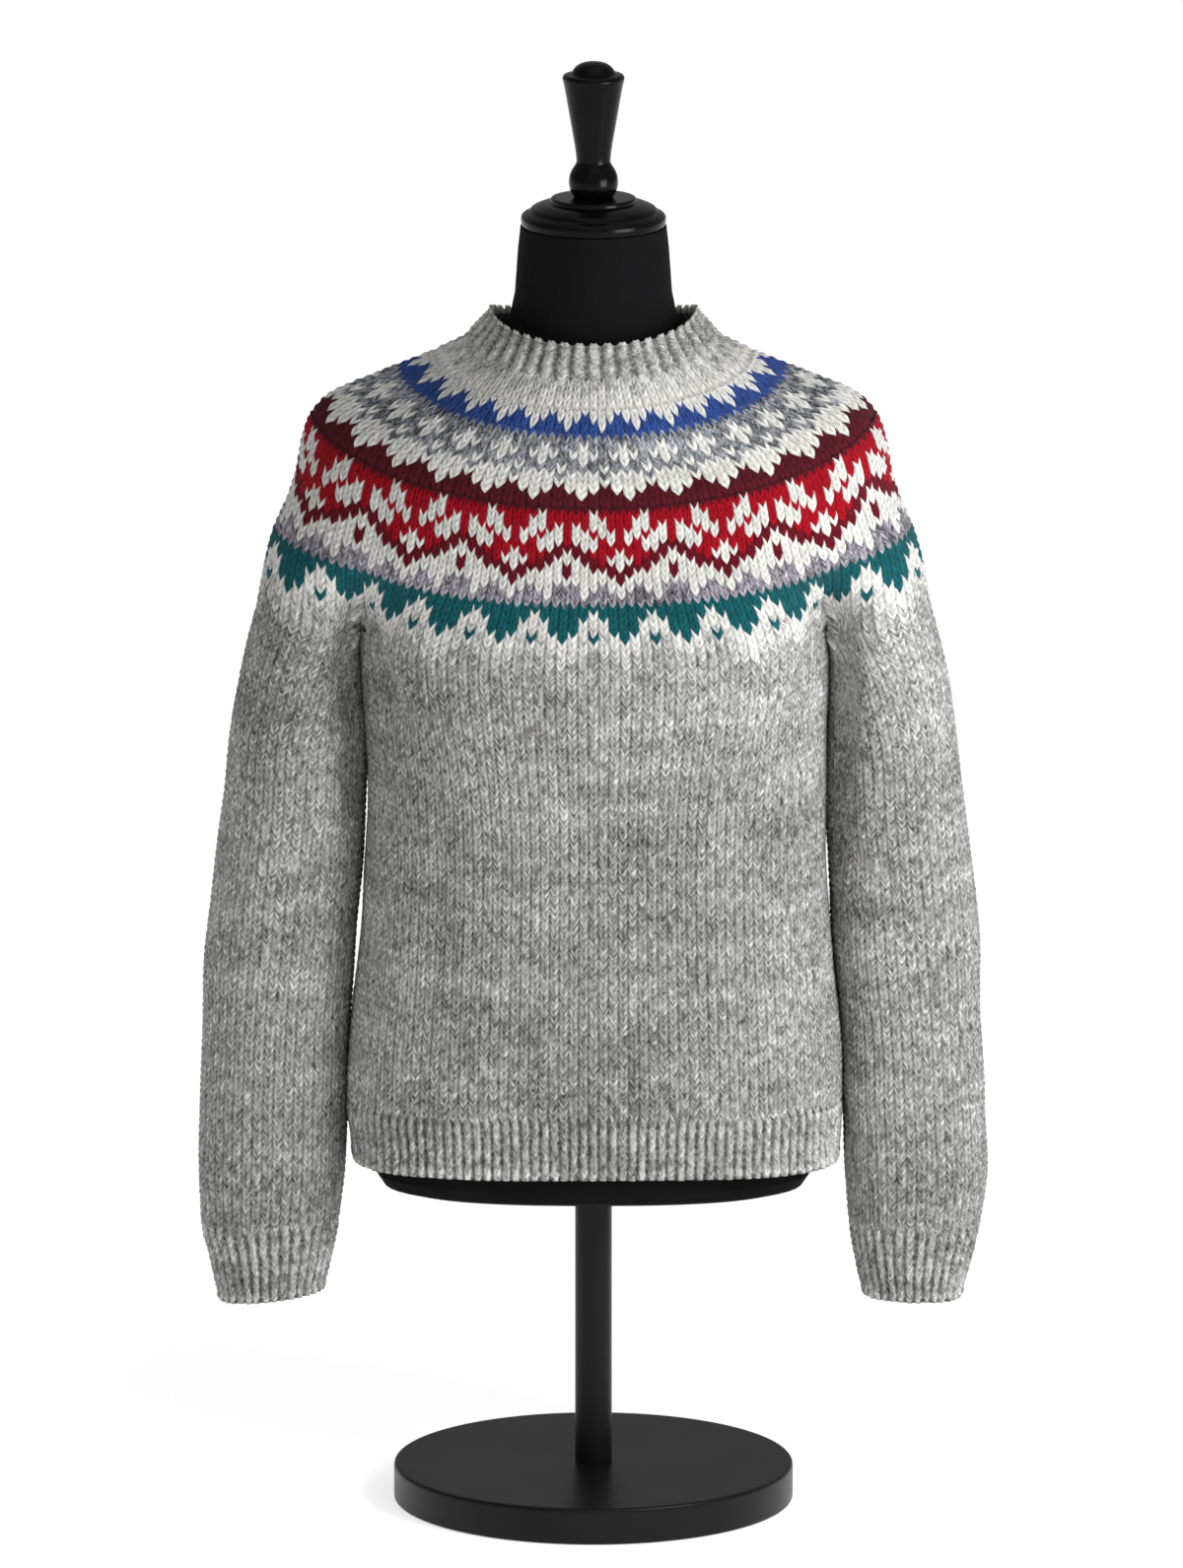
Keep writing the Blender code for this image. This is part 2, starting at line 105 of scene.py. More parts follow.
def signed_power(value: Array, power: float) -> Array:
    """Raises the size of a value to a power and keeps its sign."""
    return np.sign(value) * np.abs(value) ** power


def lengths_along(points: Array) -> Array:
    """Gives the distance from a line's first point to each of its points."""
    return np.concatenate([[0.0], np.cumsum(np.linalg.norm(np.diff(points, axis=0), axis=1))])


def shares_along(points: Array) -> Array:
    """Gives each point's distance along a line as a share of the whole line."""
    along = lengths_along(points)
    return along / along[-1]


def at_shares(points: Array, shares: Array) -> Array:
    """Finds the points at shares of a line's length.

    Args:
        points: the line.
        shares: shares of its length, 0 to 1.

    Returns:
        One point for each share.
    """
    along = shares_along(points)
    return np.stack([np.interp(shares, along, column) for column in points.T], axis=1)


def half_ring(row: Row, shares: Array) -> Array:
    """Makes the +X half of an oval ring, from the middle front to the middle back.

    The plan is a superellipse: X is the side times the cosine to 2/power, Y is the sine to
    2/power times half the depth. The height goes from the side's to the front's or back's
    with the sine to the power rise.

    Args:
        row: side, side_z, front, front_z, back, back_z, power and rise.
        shares: shares of the half ring's length.

    Returns:
        One point for each share.
    """
    side, side_z, front, front_z, back, back_z, power, rise = row
    angle = np.linspace(-np.pi / 2, np.pi / 2, HALF_OVAL)
    sine = np.sin(angle)
    middle, deep = (front + back) / 2, (back - front) / 2
    end_z = np.where(sine < 0, front_z, back_z)
    oval = np.stack([
        side * np.abs(np.cos(angle)) ** (2 / power),
        middle + deep * signed_power(sine, 2 / power),
        side_z + (end_z - side_z) * np.abs(sine) ** rise,
    ], axis=1)
    return at_shares(oval, shares)


def whole_ring(right: Array, left: Array) -> Array:
    """Joins two halves, both given on the +X side, into a ring from the middle front."""
    return np.concatenate([right, left[-2:0:-1] * (-1, 1, 1)])


def outward(grid: Array) -> Array:
    """Finds the unit normals of rings: the way down crossed with the way around.

    Args:
        grid: rings from the top down, each running counter-clockwise from above.

    Returns:
        One normal for each point.
    """
    down = np.gradient(grid, axis=0)
    around = np.roll(grid, -1, axis=1) - np.roll(grid, 1, axis=1)
    normal = np.cross(down, around)
    return normal / np.maximum(np.linalg.norm(normal, axis=2, keepdims=True), 1e-9)


# ---------------------------------------------------------------- how the cloth hangs

@dataclass(frozen=True)
class Fold:
    """A soft trough or ridge along a straight line, seen from the front or the back.

    Attributes:
        start: X and Z where the fold begins.
        end: X and Z where it ends.
        depth: how far the cloth moves along its normal; less than 0 is a trough.
        width: distance from the line at which the fold has mostly gone.
        face: -1 for the front, +1 for the back.
    """

    start: tuple[float, float]
    end: tuple[float, float]
    depth: float
    width: float
    face: int

    def push(self, points: Array, facing: Array) -> Array:
        """Works out the fold's push: its depth times a bell of the distance to its line.

        Args:
            points: points of the cloth.
            facing: Y of the cloth's normals.

        Returns:
            How far each point moves along its normal.
        """
        start, end = np.array(self.start), np.array(self.end)
        way = end - start
        flat = points[..., [0, 2]] - start
        share = np.clip(flat @ way / (way @ way), 0.0, 1.0)
        gap = np.linalg.norm(flat - share[..., None] * way, axis=-1)
        fade = smooth_step(facing * self.face * 2.0)
        swell = 0.45 + 0.55 * np.sin(np.pi * (0.12 + 0.76 * share))
        return self.depth * swell * fade * np.exp(-((gap / self.width) ** 2))


FOLDS = (
    # creases that run in from the armpits
    Fold((-184, 742), (-160, 668), -6.5, 12, -1), Fold((184, 742), (163, 660), -6.5, 12, -1),
    Fold((-198, 752), (-193, 596), -7.5, 15, -1), Fold((199, 752), (196, 560), -7.0, 14, -1),
    Fold((-181, 735), (-174, 600), -4.0, 10, -1), Fold((181, 735), (179, 590), -4.0, 10, -1),
    Fold((-176, 706), (-128, 640), -2.6, 12, -1), Fold((178, 700), (132, 648), -2.4, 12, -1),
    Fold((-196, 752), (-208, 690), -3.0, 10, -1), Fold((196, 752), (210, 684), -3.2, 10, -1),
    Fold((-168, 722), (-140, 690), 2.2, 9, -1), Fold((170, 716), (146, 678), 2.0, 9, -1),
    # soft upright folds of the lower front
    Fold((31, 404), (27, 330), -3.4, 9, -1), Fold((44, 430), (47, 330), 2.0, 12, -1),
    Fold((-62, 470), (-70, 345), -1.9, 14, -1), Fold((-36, 430), (-38, 350), 1.5, 13, -1),
    Fold((112, 520), (122, 350), -2.0, 15, -1), Fold((-126, 540), (-140, 360), -2.2, 15, -1),
    Fold((86, 600), (104, 470), 1.5, 17, -1), Fold((-98, 600), (-112, 480), 1.6, 17, -1),
    Fold((-20, 640), (-8, 560), -1.2, 18, -1), Fold((150, 560), (160, 400), 1.8, 12, -1),
    # drag across the chest, under the yoke
    Fold((-120, 690), (-40, 676), 1.3, 12, -1), Fold((118, 688), (44, 672), 1.2, 12, -1),
    Fold((-150, 620), (-90, 600), -1.3, 11, -1), Fold((152, 612), (98, 596), -1.3, 11, -1),
    # sleeves: dents inside the elbows and a slouch above the cuffs
    Fold((-200, 560), (-262, 530), -3.6, 12, -1), Fold((200, 548), (266, 520), -3.4, 12, -1),
    Fold((-206, 505), (-276, 486), -2.6, 11, -1), Fold((206, 496), (278, 470), -2.8, 11, -1),
    Fold((-204, 534), (-270, 508), 2.2, 10, -1), Fold((204, 522), (270, 496), 2.2, 10, -1),
    Fold((-226, 700), (-276, 664), -2.2, 14, -1), Fold((228, 706), (278, 672), -2.4, 14, -1),
    Fold((-212, 262), (-302, 252), -3.0, 9, -1), Fold((214, 260), (304, 254), -3.0, 9, -1),
    Fold((-240, 330), (-306, 306), -2.2, 12, -1), Fold((238, 322), (300, 300), -2.2, 12, -1),
    Fold((-214, 410), (-244, 330), -1.8, 10, -1), Fold((216, 404), (250, 340), -1.8, 10, -1),
    # the back: the same kinds of folds, placed a little differently
    Fold((-186, 748), (-158, 660), -5.0, 12, 1), Fold((186, 748), (156, 668), -5.0, 12, 1),
    Fold((-178, 700), (-120, 628), -3.0, 13, 1), Fold((176, 704), (126, 634), -2.8, 13, 1),
    Fold((-50, 520), (-60, 345), -3.0, 15, 1), Fold((38, 560), (30, 345), -2.8, 16, 1),
    Fold((-8, 500), (-14, 350), 2.2, 15, 1), Fold((104, 520), (118, 350), -2.4, 14, 1),
    Fold((-112, 560), (-126, 350), -2.2, 14, 1), Fold((80, 480), (78, 350), 1.8, 13, 1),
    Fold((-90, 640), (-10, 606), -1.8, 12, 1), Fold((96, 650), (20, 612), -1.6, 12, 1),
    Fold((-206, 540), (-280, 500), -3.2, 13, 1), Fold((206, 530), (282, 494), -3.2, 13, 1),
    Fold((-214, 268), (-304, 256), -3.0, 9, 1), Fold((214, 266), (304, 258), -3.0, 9, 1),
    Fold((-226, 420), (-296, 380), -2.0, 13, 1), Fold((228, 410), (298, 372), -2.0, 13, 1),
)


def drape(grid: Array) -> Array:
    """Moves cloth along its normals by its folds and by a slow unevenness.

    The unevenness is a sum of three sines of X, Y and Z, so it is the same wherever two
    pieces meet.

    Args:
        grid: rings of points.

    Returns:
        The moved rings.
    """
    normal = outward(grid)
    push = np.zeros(grid.shape[:2])
    for fold in FOLDS:
        push += fold.push(grid, normal[..., 1])
    x, y, z = np.moveaxis(grid, 2, 0)
    slow = (
        0.55 * np.sin(x / 31 + 1.3 * np.sin(z / 47) + y / 52)
        + 0.45 * np.sin(z / 26 - x / 44 + 2.0)
        + 0.35 * np.sin((x + z) / 17 + 1.1 * np.sin(y / 23))
    )
    reach = smooth_step((940.0 - z) / 120.0) * smooth_step((z - 290.0) / 60.0 + 0.35)
    return grid + normal * ((push + slow) * (0.25 + 0.75 * reach))[..., None]


def drape_side(grid: Array, left: bool) -> Array:
    """Drapes rings that were worked on the +X side as they hang on their own side.

    Args:
        grid: rings of points.
        left: whether the rings will be turned over to the other side of X.

    Returns:
        The moved rings, still on the +X side.
    """
    if not left:
        return drape(grid)
    return drape(grid[:, ::-1] * (-1, 1, 1))[:, ::-1] * (-1, 1, 1)


# ---------------------------------------------------------------- yarns and charts

def linear(colour: tuple[int, int, int]) -> Array:
    """Turns a display colour of 0 to 255 into linear light."""
    share = np.array(colour) / 255.0
    return np.where(share <= 0.04045, share / 12.92, ((share + 0.055) / 1.055) ** 2.4)


class Yarn(Enum):
    """The yarns: chart letter, display colour, and how strongly its flecks mix."""

    IVORY = ("i", (236, 235, 230), 0.30)
    PALE = ("h", (208, 208, 205), 0.80)
    BLUE = ("b", (50, 80, 150), 0.42)
    STONE = ("m", (138, 141, 147), 1.5)
    WINE = ("u", (84, 15, 30), 0.34)
    RED = ("r", (168, 2, 27), 0.30)
    DARK_RED = ("d", (106, 10, 27), 0.34)
    LILAC = ("l", (146, 141, 150), 1.4)
    TEAL = ("t", (12, 92, 99), 0.36)
    GREY = ("g", (175, 175, 173), 1.05)

    @property
    def letter(self) -> str:
        """The yarn's letter in the charts."""
        return self.value[0]

    @property
    def dye(self) -> Array:
        """The yarn's linear colour, with the strength of its flecks as a fourth number."""
        return np.append(linear(self.value[1]), self.value[2])


LETTERS = "".join(yarn.letter for yarn in Yarn)
DYES = np.array([yarn.dye for yarn in Yarn])


def chart_colours(rows: tuple[str, ...], wales: int, shift: int, folded: bool) -> Array:
    """Repeats a small knitting chart around a ring.

    Args:
        rows: one word of yarn letters for each knitted row.
        wales: stitches around.
        shift: stitches from the middle front to the chart's first column.
        folded: whether the chart is half a repeat that is mirrored about both its ends.

    Returns:
        The dye of each stitch, rows by wales by 4.
    """
    width = len(rows[0])
    column = np.arange(wales) - shift
    if folded:
        column = column % (2 * width - 2)
        column = np.where(column >= width, 2 * width - 2 - column, column)
    codes = np.array([[LETTERS.index(letter) for letter in row] for row in rows])
    return DYES[codes[:, column % width]]


def uneven(dyes: Array, seed: int, patch: float = 0.05) -> Array:
    """Shades stitches the way a hand-dyed heather yarn does.

    A stitch is lighter or darker by its own amount, by a streak that follows the yarn
    along its row, and by a patch that several rows share. Streaks and patches are random
    numbers averaged along the ring.

    Args:
        dyes: dye of each stitch.
        seed: number that fixes the random values.
        patch: strength of the patches.

    Returns:
        The shaded dyes.
    """
    rng = np.random.default_rng(seed)
    rows, wales = dyes.shape[:2]

    def averaged(noise: Array, reach: int, axis: int) -> Array:
        """Averages noise over a reach along one axis and brings it back to unit spread."""
        total = sum(np.roll(noise, step, axis=axis) for step in range(-reach, reach + 1))
        return total / total.std()

    own = rng.normal(size=(rows, wales))
    streak = averaged(rng.normal(size=(rows, wales)), 3, 1)
    wide = averaged(averaged(rng.normal(size=(rows, wales)), 9, 1), 1 if rows > 3 else 0, 0)
    strength = dyes[..., 3]
    shade = 1.0 + (0.045 * own + 0.05 * streak + patch * wide) * (0.35 + 0.65 * strength)
    shaded = dyes.copy()
    shaded[..., :3] *= np.clip(shade, 0.6, 1.4)[..., None]
    return shaded


# ---------------------------------------------------------------- meshes of stitches

# the flat layout: its margin, what is left within, and where the outer wall and lining end
MARGIN, WITHIN = 0.004, 0.992
OUTER_SHARE, LINING_SHARE = 0.80, 0.985


def add_object(name: str, data: bpy.types.ID) -> bpy.types.Object:
    """Makes an object at the origin and puts it in the scene.

    Args:
        name: the object's name.
        data: its mesh, lamp or camera.

    Returns:
        The object.
    """
    made = bpy.data.objects.new(name, data)
    bpy.context.scene.collection.objects.link(made)
    return made


@dataclass
class Cloth:
    """Gathers the lattices of one knitted piece and makes its mesh.

    Attributes:
        name: the piece's name.
        strips: how many strips the round is cut into when it is laid flat.
        points: groups of points, in the order of their numbers.
        relief: how far each point stands up, in the same groups.
        faces: groups of faces with their flat places, knitting places and dyes.
        edges: the point numbers of each rim.
        count: how many points there are so far.
    """

    name: str
    strips: int = 1
    points: list[Array] = field(default_factory=list)
    relief: list[Array] = field(default_factory=list)
    faces: list[tuple[Array, Array, Array, Array]] = field(default_factory=list)
    edges: list[Array] = field(default_factory=list)
    count: int = 0

    def add_points(self, grid: Array, relief: Array) -> Array:
        """Adds rings of points.

        Args:
            grid: rows by columns by 3.
            relief: how far each point stands up from the cloth, 0 to 1.

        Returns:
            The number of each point, rows by columns.
        """
        number = self.count + np.arange(grid.shape[0] * grid.shape[1])
        self.points.append(grid.reshape(-1, 3))
        self.relief.append(relief.reshape(-1))
        self.count += len(number)
        return number.reshape(grid.shape[:2])

    def add_quads(self, number: Array, down: Array, courses: Array, wales: int,
                  dyes: Array) -> None:
        """Joins rings of points by faces that point outwards.

        Args:
            number: the points' numbers, rows by columns.
            down: each row's share of the laid-flat height.
            courses: each row's place counted in knitted rows.
            wales: stitches around.
            dyes: dye of each face, rows less one by columns by 4, or one dye.
        """
        rows, columns = number.shape
        ahead = np.roll(number, -1, axis=1)
        quads = np.stack([number[:-1], number[1:], ahead[1:], ahead[:-1]], axis=2)
        here = np.broadcast_to(np.arange(columns), (rows - 1, columns))
        around = np.stack([here, here, here + 1, here + 1], axis=2) / columns
        high = np.broadcast_to(down[:-1, None], here.shape)
        low = np.broadcast_to(down[1:, None], here.shape)
        first = np.broadcast_to(courses[:-1, None], here.shape)
        last = np.broadcast_to(courses[1:, None], here.shape)
        flat = np.stack([around, np.stack([high, low, low, high], axis=2)], axis=3)
        knit = np.stack([around * wales, np.stack([first, last, last, first], axis=2)], axis=3)
        dyes = np.broadcast_to(dyes, (rows - 1, columns, 4))
        self._keep(quads.reshape(-1, 4), flat.reshape(-1, 4, 2), knit.reshape(-1, 4, 2),
                   dyes.reshape(-1, 4))

    def add_zip(self, above: Array, below: Array, down: tuple[float, float], dye: Array) -> None:
        """Joins two rings that have different numbers of points by a band of triangles.

        The edges of both rings are taken in the order of their middles, and each makes a
        triangle with the point that the other ring has reached.

        Args:
            above: the upper ring's point numbers.
            below: the lower ring's point numbers.
            down: both rings' shares of the laid-flat height.
            dye: the band's dye.
        """
        many, few = len(above), len(below)
        upper = (np.arange(many) + 0.5) / many
        lower = (np.arange(few) + 0.5) / few
        met = np.searchsorted(lower, upper, side="left")
        one = np.stack([above, below[met % few], np.roll(above, -1)], axis=1)
        seen = np.searchsorted(upper, lower, side="right")
        two = np.stack([above[seen % many], below, np.roll(below, -1)], axis=1)
        here, there = np.arange(many), np.arange(few)
        around = np.concatenate([
            np.stack([here / many, met / few, (here + 1) / many], axis=1),
            np.stack([seen / many, there / few, (there + 1) / few], axis=1),
        ])
        high, low = down
        levels = np.concatenate([
            np.broadcast_to([high, low, high], (many, 3)),
            np.broadcast_to([high, low, low], (few, 3)),
        ])
        flat = np.stack([around, levels], axis=2)
        knit = flat * (many / 4, 40.0)
        self._keep(np.concatenate([one, two]), flat, knit,
                   np.broadcast_to(dye, (many + few, 4)))

    def _keep(self, faces: Array, flat: Array, knit: Array, dyes: Array) -> None:
        """Keeps faces with their flat places, cut into strips by each face's middle."""
        middle = flat[:, :, 0].mean(axis=1, keepdims=True)
        strip = np.clip(np.floor(middle * self.strips), 0, self.strips - 1)
        laid = np.empty_like(flat)
        laid[..., 0] = MARGIN + WITHIN * (flat[..., 0] * self.strips - strip)
        laid[..., 1] = (strip + MARGIN + WITHIN * flat[..., 1]) / self.strips
        self.faces.append((faces, laid, knit, dyes))

    def finish(self, mirrored: bool = False) -> bpy.types.Object:
        """Makes the mesh with its flat layout, its knitting layout, dyes and relief.

        Args:
            mirrored: whether the piece is turned over to the other side of X.

        Returns:
            The piece's object, at the origin.
        """
        points = np.concatenate(self.points) * MM
        if mirrored:
            points = points * (-1, 1, 1)
        turn = slice(None, None, -1) if mirrored else slice(None)
        corners, laid, knit, dyes, sizes = [], [], [], [], []
        for faces, flat, stitch, dye in self.faces:
            corners.append(faces[:, turn].reshape(-1))
            laid.append(flat[:, turn].reshape(-1, 2))
            knit.append(stitch[:, turn].reshape(-1, 2))
            dyes.append(dye)
            sizes.append(np.full(len(faces), faces.shape[1]))
        corner = np.concatenate(corners)
        size = np.concatenate(sizes)
        mesh = bpy.data.meshes.new(self.name)
        mesh.vertices.add(len(points))
        mesh.vertices.foreach_set("co", points.astype(np.float32).ravel())
        mesh.loops.add(len(corner))
        mesh.loops.foreach_set("vertex_index", corner.astype(np.int32))
        mesh.polygons.add(len(size))
        mesh.polygons.foreach_set("loop_start", (np.cumsum(size) - size).astype(np.int32))
        mesh.update(calc_edges=True)
        for label, places in (("OFBake", laid), ("stitches", knit)):
            layer = mesh.uv_layers.new(name=label)
            layer.uv.foreach_set("vector", np.concatenate(places).astype(np.float32).ravel())
        dye_layer = mesh.attributes.new("dye", "FLOAT_COLOR", "FACE")
        dye_layer.data.foreach_set("color", np.concatenate(dyes).astype(np.float32).ravel())
        lift = mesh.attributes.new("relief", "FLOAT", "POINT")
        lift.data.foreach_set("value", np.concatenate(self.relief).astype(np.float32))
        mesh.shade_smooth()
        self._mark_edges(mesh, len(points))
        return add_object(self.name, mesh)

    def _mark_edges(self, mesh: bpy.types.Mesh, count: int) -> None:
        """Marks the rims as sharp, so that the outer wall's shading stops at them."""
        rim = np.zeros(count, int)
        for group, numbers in enumerate(self.edges, start=1):
            rim[numbers] = group
        ends = np.empty(2 * len(mesh.edges), np.int32)
        mesh.edges.foreach_get("vertices", ends)
        ends = rim[ends.reshape(-1, 2)]
        sharp = mesh.attributes.new("sharp_edge", "BOOLEAN", "EDGE")
        sharp.data.foreach_set("value", (ends[:, 0] > 0) & (ends[:, 0] == ends[:, 1]))


@dataclass(frozen=True)
class Stitch:
    """The shape of one stitch or rib on the lattice.

    Attributes:
        across: where the columns lie within a stitch, from its middle.
        dip: how many rows each column is raised, so that the legs lean.
        low: height of each column between two rows.
        high: height of each column at the middle of a row.
        sway: how far a column may wander within its stitch.
    """

    across: Row
    dip: Row
    low: Row
    high: Row
    sway: Row

    @property
    def columns(self) -> int:
        """Columns of points in one stitch."""
        return len(self.across)


PLAIN = Stitch(
    across=(0.0, 0.25, 0.5, -0.25),
    dip=(0.0, 0.5, 1.0, 0.5),
    low=(-0.80, -0.25, -1.05, -0.25),
    high=(-0.25, 1.15, -0.75, 1.15),
    sway=(1.0, 0.6, 0.0, 0.6),
)
RIB = Stitch(
    across=(0.0, 0.13, 0.27, 0.5, -0.27, -0.13),
    dip=(0.0, 0.45, 0.85, 0.5, 0.85, 0.45),
    low=(0.15, 0.50, -1.3, -2.2, -1.3, 0.50),
    high=(0.70, 1.50, -0.8, -1.5, -0.8, 1.50),
    sway=(0.8, 0.8, 0.6, 0.6, 0.6, 0.8),
)


@dataclass
class Knitting:
    """Works stitches onto a smooth surface.

    Attributes:
        stitch: the stitch's shape.
        wales: stitches around.
        first: column of the stitch that the ring starts at.
        seed: number that fixes the random values.
        height: scale of the stitches' relief.
    """

    stitch: Stitch
    wales: int
    first: int = 0
    seed: int = 1
    height: float = 1.0

    @property
    def columns(self) -> int:
        """Columns of points around the ring."""
        return self.wales * self.stitch.columns

    def column_values(self, values: Row) -> Array:
        """Repeats one stitch's values around the ring."""
        return np.roll(np.tile(values, self.wales), -self.first)

    def stitch_of(self) -> Array:
        """Numbers the stitch that each column of faces belongs to."""
        per = self.stitch.columns
        return (np.arange(self.columns) + self.first + per // 2) // per % self.wales

    def work(self, surface: Array, start: float, courses: Array,
             lean: Array) -> tuple[Array, Array]:
        """Puts the lattice of stitches on a surface.

        A point lies at its row less its column's dip, read between the surface's rings, and
        then stands out by its height in the stitch. Random sway moves a stitch's inner
        columns together, along the round and along the wale.

        Args:
            surface: rings at every half row, by columns by 3.
            start: row count of the surface's first ring.
            courses: row count of each lattice row, every half row.
            lean: how much of the dip each lattice row has, 0 to 1.

        Returns:
            The points, and how far each stands up, 0 to 1.
        """
        rng = np.random.default_rng(self.seed)
        dip = self.column_values(self.stitch.dip)
        sway = self.column_values(self.stitch.sway)
        owner = self.stitch_of()
        row_of = np.floor(courses).astype(int) - int(np.floor(courses[0]))
        slide = rng.normal(0.0, 0.055, (row_of.max() + 1, self.wales))[row_of][:, owner]
        swing = rng.normal(0.0, 0.07, (row_of.max() + 1, self.wales))[row_of][:, owner]
        swell = rng.normal(0.0, 0.16, (row_of.max() + 1, self.wales))[row_of][:, owner]
        place = courses[:, None] - dip * lean[:, None] + sway * swing
        index = np.clip((place - start) * 2.0, 0.0, len(surface) - 1.001)
        low = index.astype(int)
        part = (index - low)[..., None]
        column = np.arange(self.columns)
        grid = surface[low, column] * (1 - part) + surface[low + 1, column] * part
        around = (np.roll(grid, -1, axis=1) - np.roll(grid, 1, axis=1)) / 2
        odd = np.round(courses * 2).astype(int) % 2 == 1
        rise = np.where(odd[:, None], self.column_values(self.stitch.high),
                        self.column_values(self.stitch.low))
        span = max(self.stitch.high) - min(self.stitch.low)
        relief = (rise - min(self.stitch.low)) / span
        rise = (rise + swell * sway) * self.height
        grid = grid + around * (slide * sway * self.stitch.columns)[..., None]
        return grid + outward(grid) * rise[..., None], relief

    def face_dyes(self, dyes: Array, courses: Array) -> Array:
        """Spreads the stitches' dyes over the lattice's faces.

        Args:
            dyes: dye of each stitch, rows by wales by 4.
            courses: row count of each lattice row, counted from the first dyed row.

        Returns:
            The dye of each face.
        """
        middle = (courses[:-1] + courses[1:]) / 2
        row = np.clip(np.floor(middle).astype(int), 0, len(dyes) - 1)
        return dyes[row][:, self.stitch_of()]


def half_rows(start: float, stop: float) -> Array:
    """Counts from one row to another in half rows, both ends included."""
    return start + np.arange(int(round((stop - start) * 2)) + 1) / 2


def close_wall(cloth: Cloth, outer: Array, lining: Array, down: Array, thick: float,
               round_rim: float, dye: Array) -> Array:
    """Carries a lattice round its lower rim and up the inside.

    The rim is a half circle between the two walls, flattened to the given depth.

    Args:
        cloth: the piece being made.
        outer: numbers of the outer wall's last ring.
        lining: rings of the inner wall before its thickness, from the top down.
        down: shares of the flat layout where the rim starts and the lining ends.
        thick: thickness of the wall.
        round_rim: how far the rim hangs below the walls.
        dye: dye of the inside.

    Returns:
        Numbers of the lining's top ring.
    """
    inner = (lining - outward(lining) * thick)[::-1]
    last = np.concatenate(cloth.points)[outer]
    rings = [inner]
    if round_rim:
        turn = np.radians([45.0, 90.0, 135.0])
        middle, reach = (last + inner[0]) / 2, (last - inner[0]) / 2
        drop = np.array([0.0, 0.0, -round_rim])
        bend = np.cos(turn)[:, None, None] * reach + np.sin(turn)[:, None, None] * drop
        rings = [middle + bend, inner]
    grid = np.concatenate(rings)
    # the rim and the lining get a middle relief, so they take a middle share of the painted hollow
    # shade
    number = cloth.add_points(grid, np.full(grid.shape[:2], 0.45))
    number = np.concatenate([outer[None], number])
    shares = np.linspace(down[0], down[1], len(number))
    cloth.add_quads(number, shares, shares * 60, outer.size // 4, dye)
    return number[-1]


def close_tube(cloth: Cloth, outer: Array, lining: Array, thick: float, round_rim: float,
               wales: int, dye: Array) -> None:
    """Closes a tube: round its lower rim, up the inside, and out to its first ring.

    Args:
        cloth: the piece being made.
        outer: numbers of the outer wall's points, rows by columns.
        lining: rings of the inner wall before its thickness, from the top down.
        thick: thickness of the wall.
        round_rim: how far the rim hangs below the walls.
        wales: stitches around.
        dye: dye of the inside.
    """
    inside = close_wall(cloth, outer[-1], lining, (OUTER_SHARE, LINING_SHARE), thick,
                        round_rim, dye)
    cloth.add_quads(np.stack([inside, outer[0]]), np.array([LINING_SHARE, 1.0]),
                    np.array([0.0, 1.0]), wales, dye)


# ---------------------------------------------------------------- the sweater's outline

YOKE_ROWS: dict[float, Row] = {
    # share  side   side_z  front  front_z  back   back_z  power  rise
    0.00: (102.0, 969.0, -88.0, 946.0, 83.0, 950.0, 2.05, 1.10),
    0.12: (137.0, 953.0, -98.0, 920.0, 91.0, 928.0, 2.00, 1.10),
    0.27: (179.0, 936.0, -107.5, 888.0, 98.5, 899.0, 2.00, 1.15),
    0.40: (216.0, 919.0, -113.0, 862.0, 102.5, 874.0, 2.05, 1.25),
    0.47: (229.0, 904.0, -115.5, 846.0, 104.0, 860.0, 2.10, 1.35),
    0.54: (236.0, 884.0, -118.0, 830.0, 105.0, 845.0, 2.15, 1.45),
    0.63: (241.0, 857.0, -120.5, 808.0, 106.0, 824.0, 2.20, 1.55),
    0.70: (247.0, 836.0, -122.5, 791.0, 106.5, 808.0, 2.25, 1.65),
    0.80: (259.0, 806.0, -124.5, 765.0, 107.0, 782.0, 2.30, 1.80),
    0.90: (267.0, 776.0, -125.5, 740.0, 107.0, 755.0, 2.35, 1.80),
    1.00: (272.5, 746.0, -126.0, 715.0, 106.5, 727.0, 2.40, 1.80),
}
NECK_ROWS: dict[float, Row] = {
    0.35: (92.0, 979.0, -82.0, 957.0, 80.0, 960.0, 2.05, 1.10),
    0.75: (85.0, 986.0, -77.0, 968.0, 77.5, 968.5, 2.05, 1.10),
    1.00: (82.0, 989.5, -74.5, 974.5, 76.0, 974.0, 2.05, 1.10),
}
BODY_ROWS: dict[float, Row] = {
    # share  left   right  front   back   power
    0.00: (190.0, 190.0, -126.0, 106.5, 2.6),
    0.12: (186.0, 189.5, -127.0, 106.0, 2.6),
    0.33: (182.5, 187.5, -124.0, 104.0, 2.7),
    0.65: (189.0, 192.5, -116.0, 101.0, 2.9),
    0.88: (197.5, 200.5, -110.5, 100.0, 3.0),
    1.00: (199.5, 202.0, -108.0, 100.0, 3.1),
}
HEM_ROWS: dict[float, Row] = {
    0.00: (199.5, 202.0, -108.0, 100.0, 3.1),
    0.50: (197.5, 200.5, -106.5, 99.5, 3.1),
    1.00: (195.5, 198.5, -106.0, 99.0, 3.2),
}


def table_rows(table: dict[float, Row], shares: Array) -> Array:
    """Reads a table's rows at shares, on a smooth curve through its own rows."""
    return through(np.array(list(table)), np.array(list(table.values())), shares)


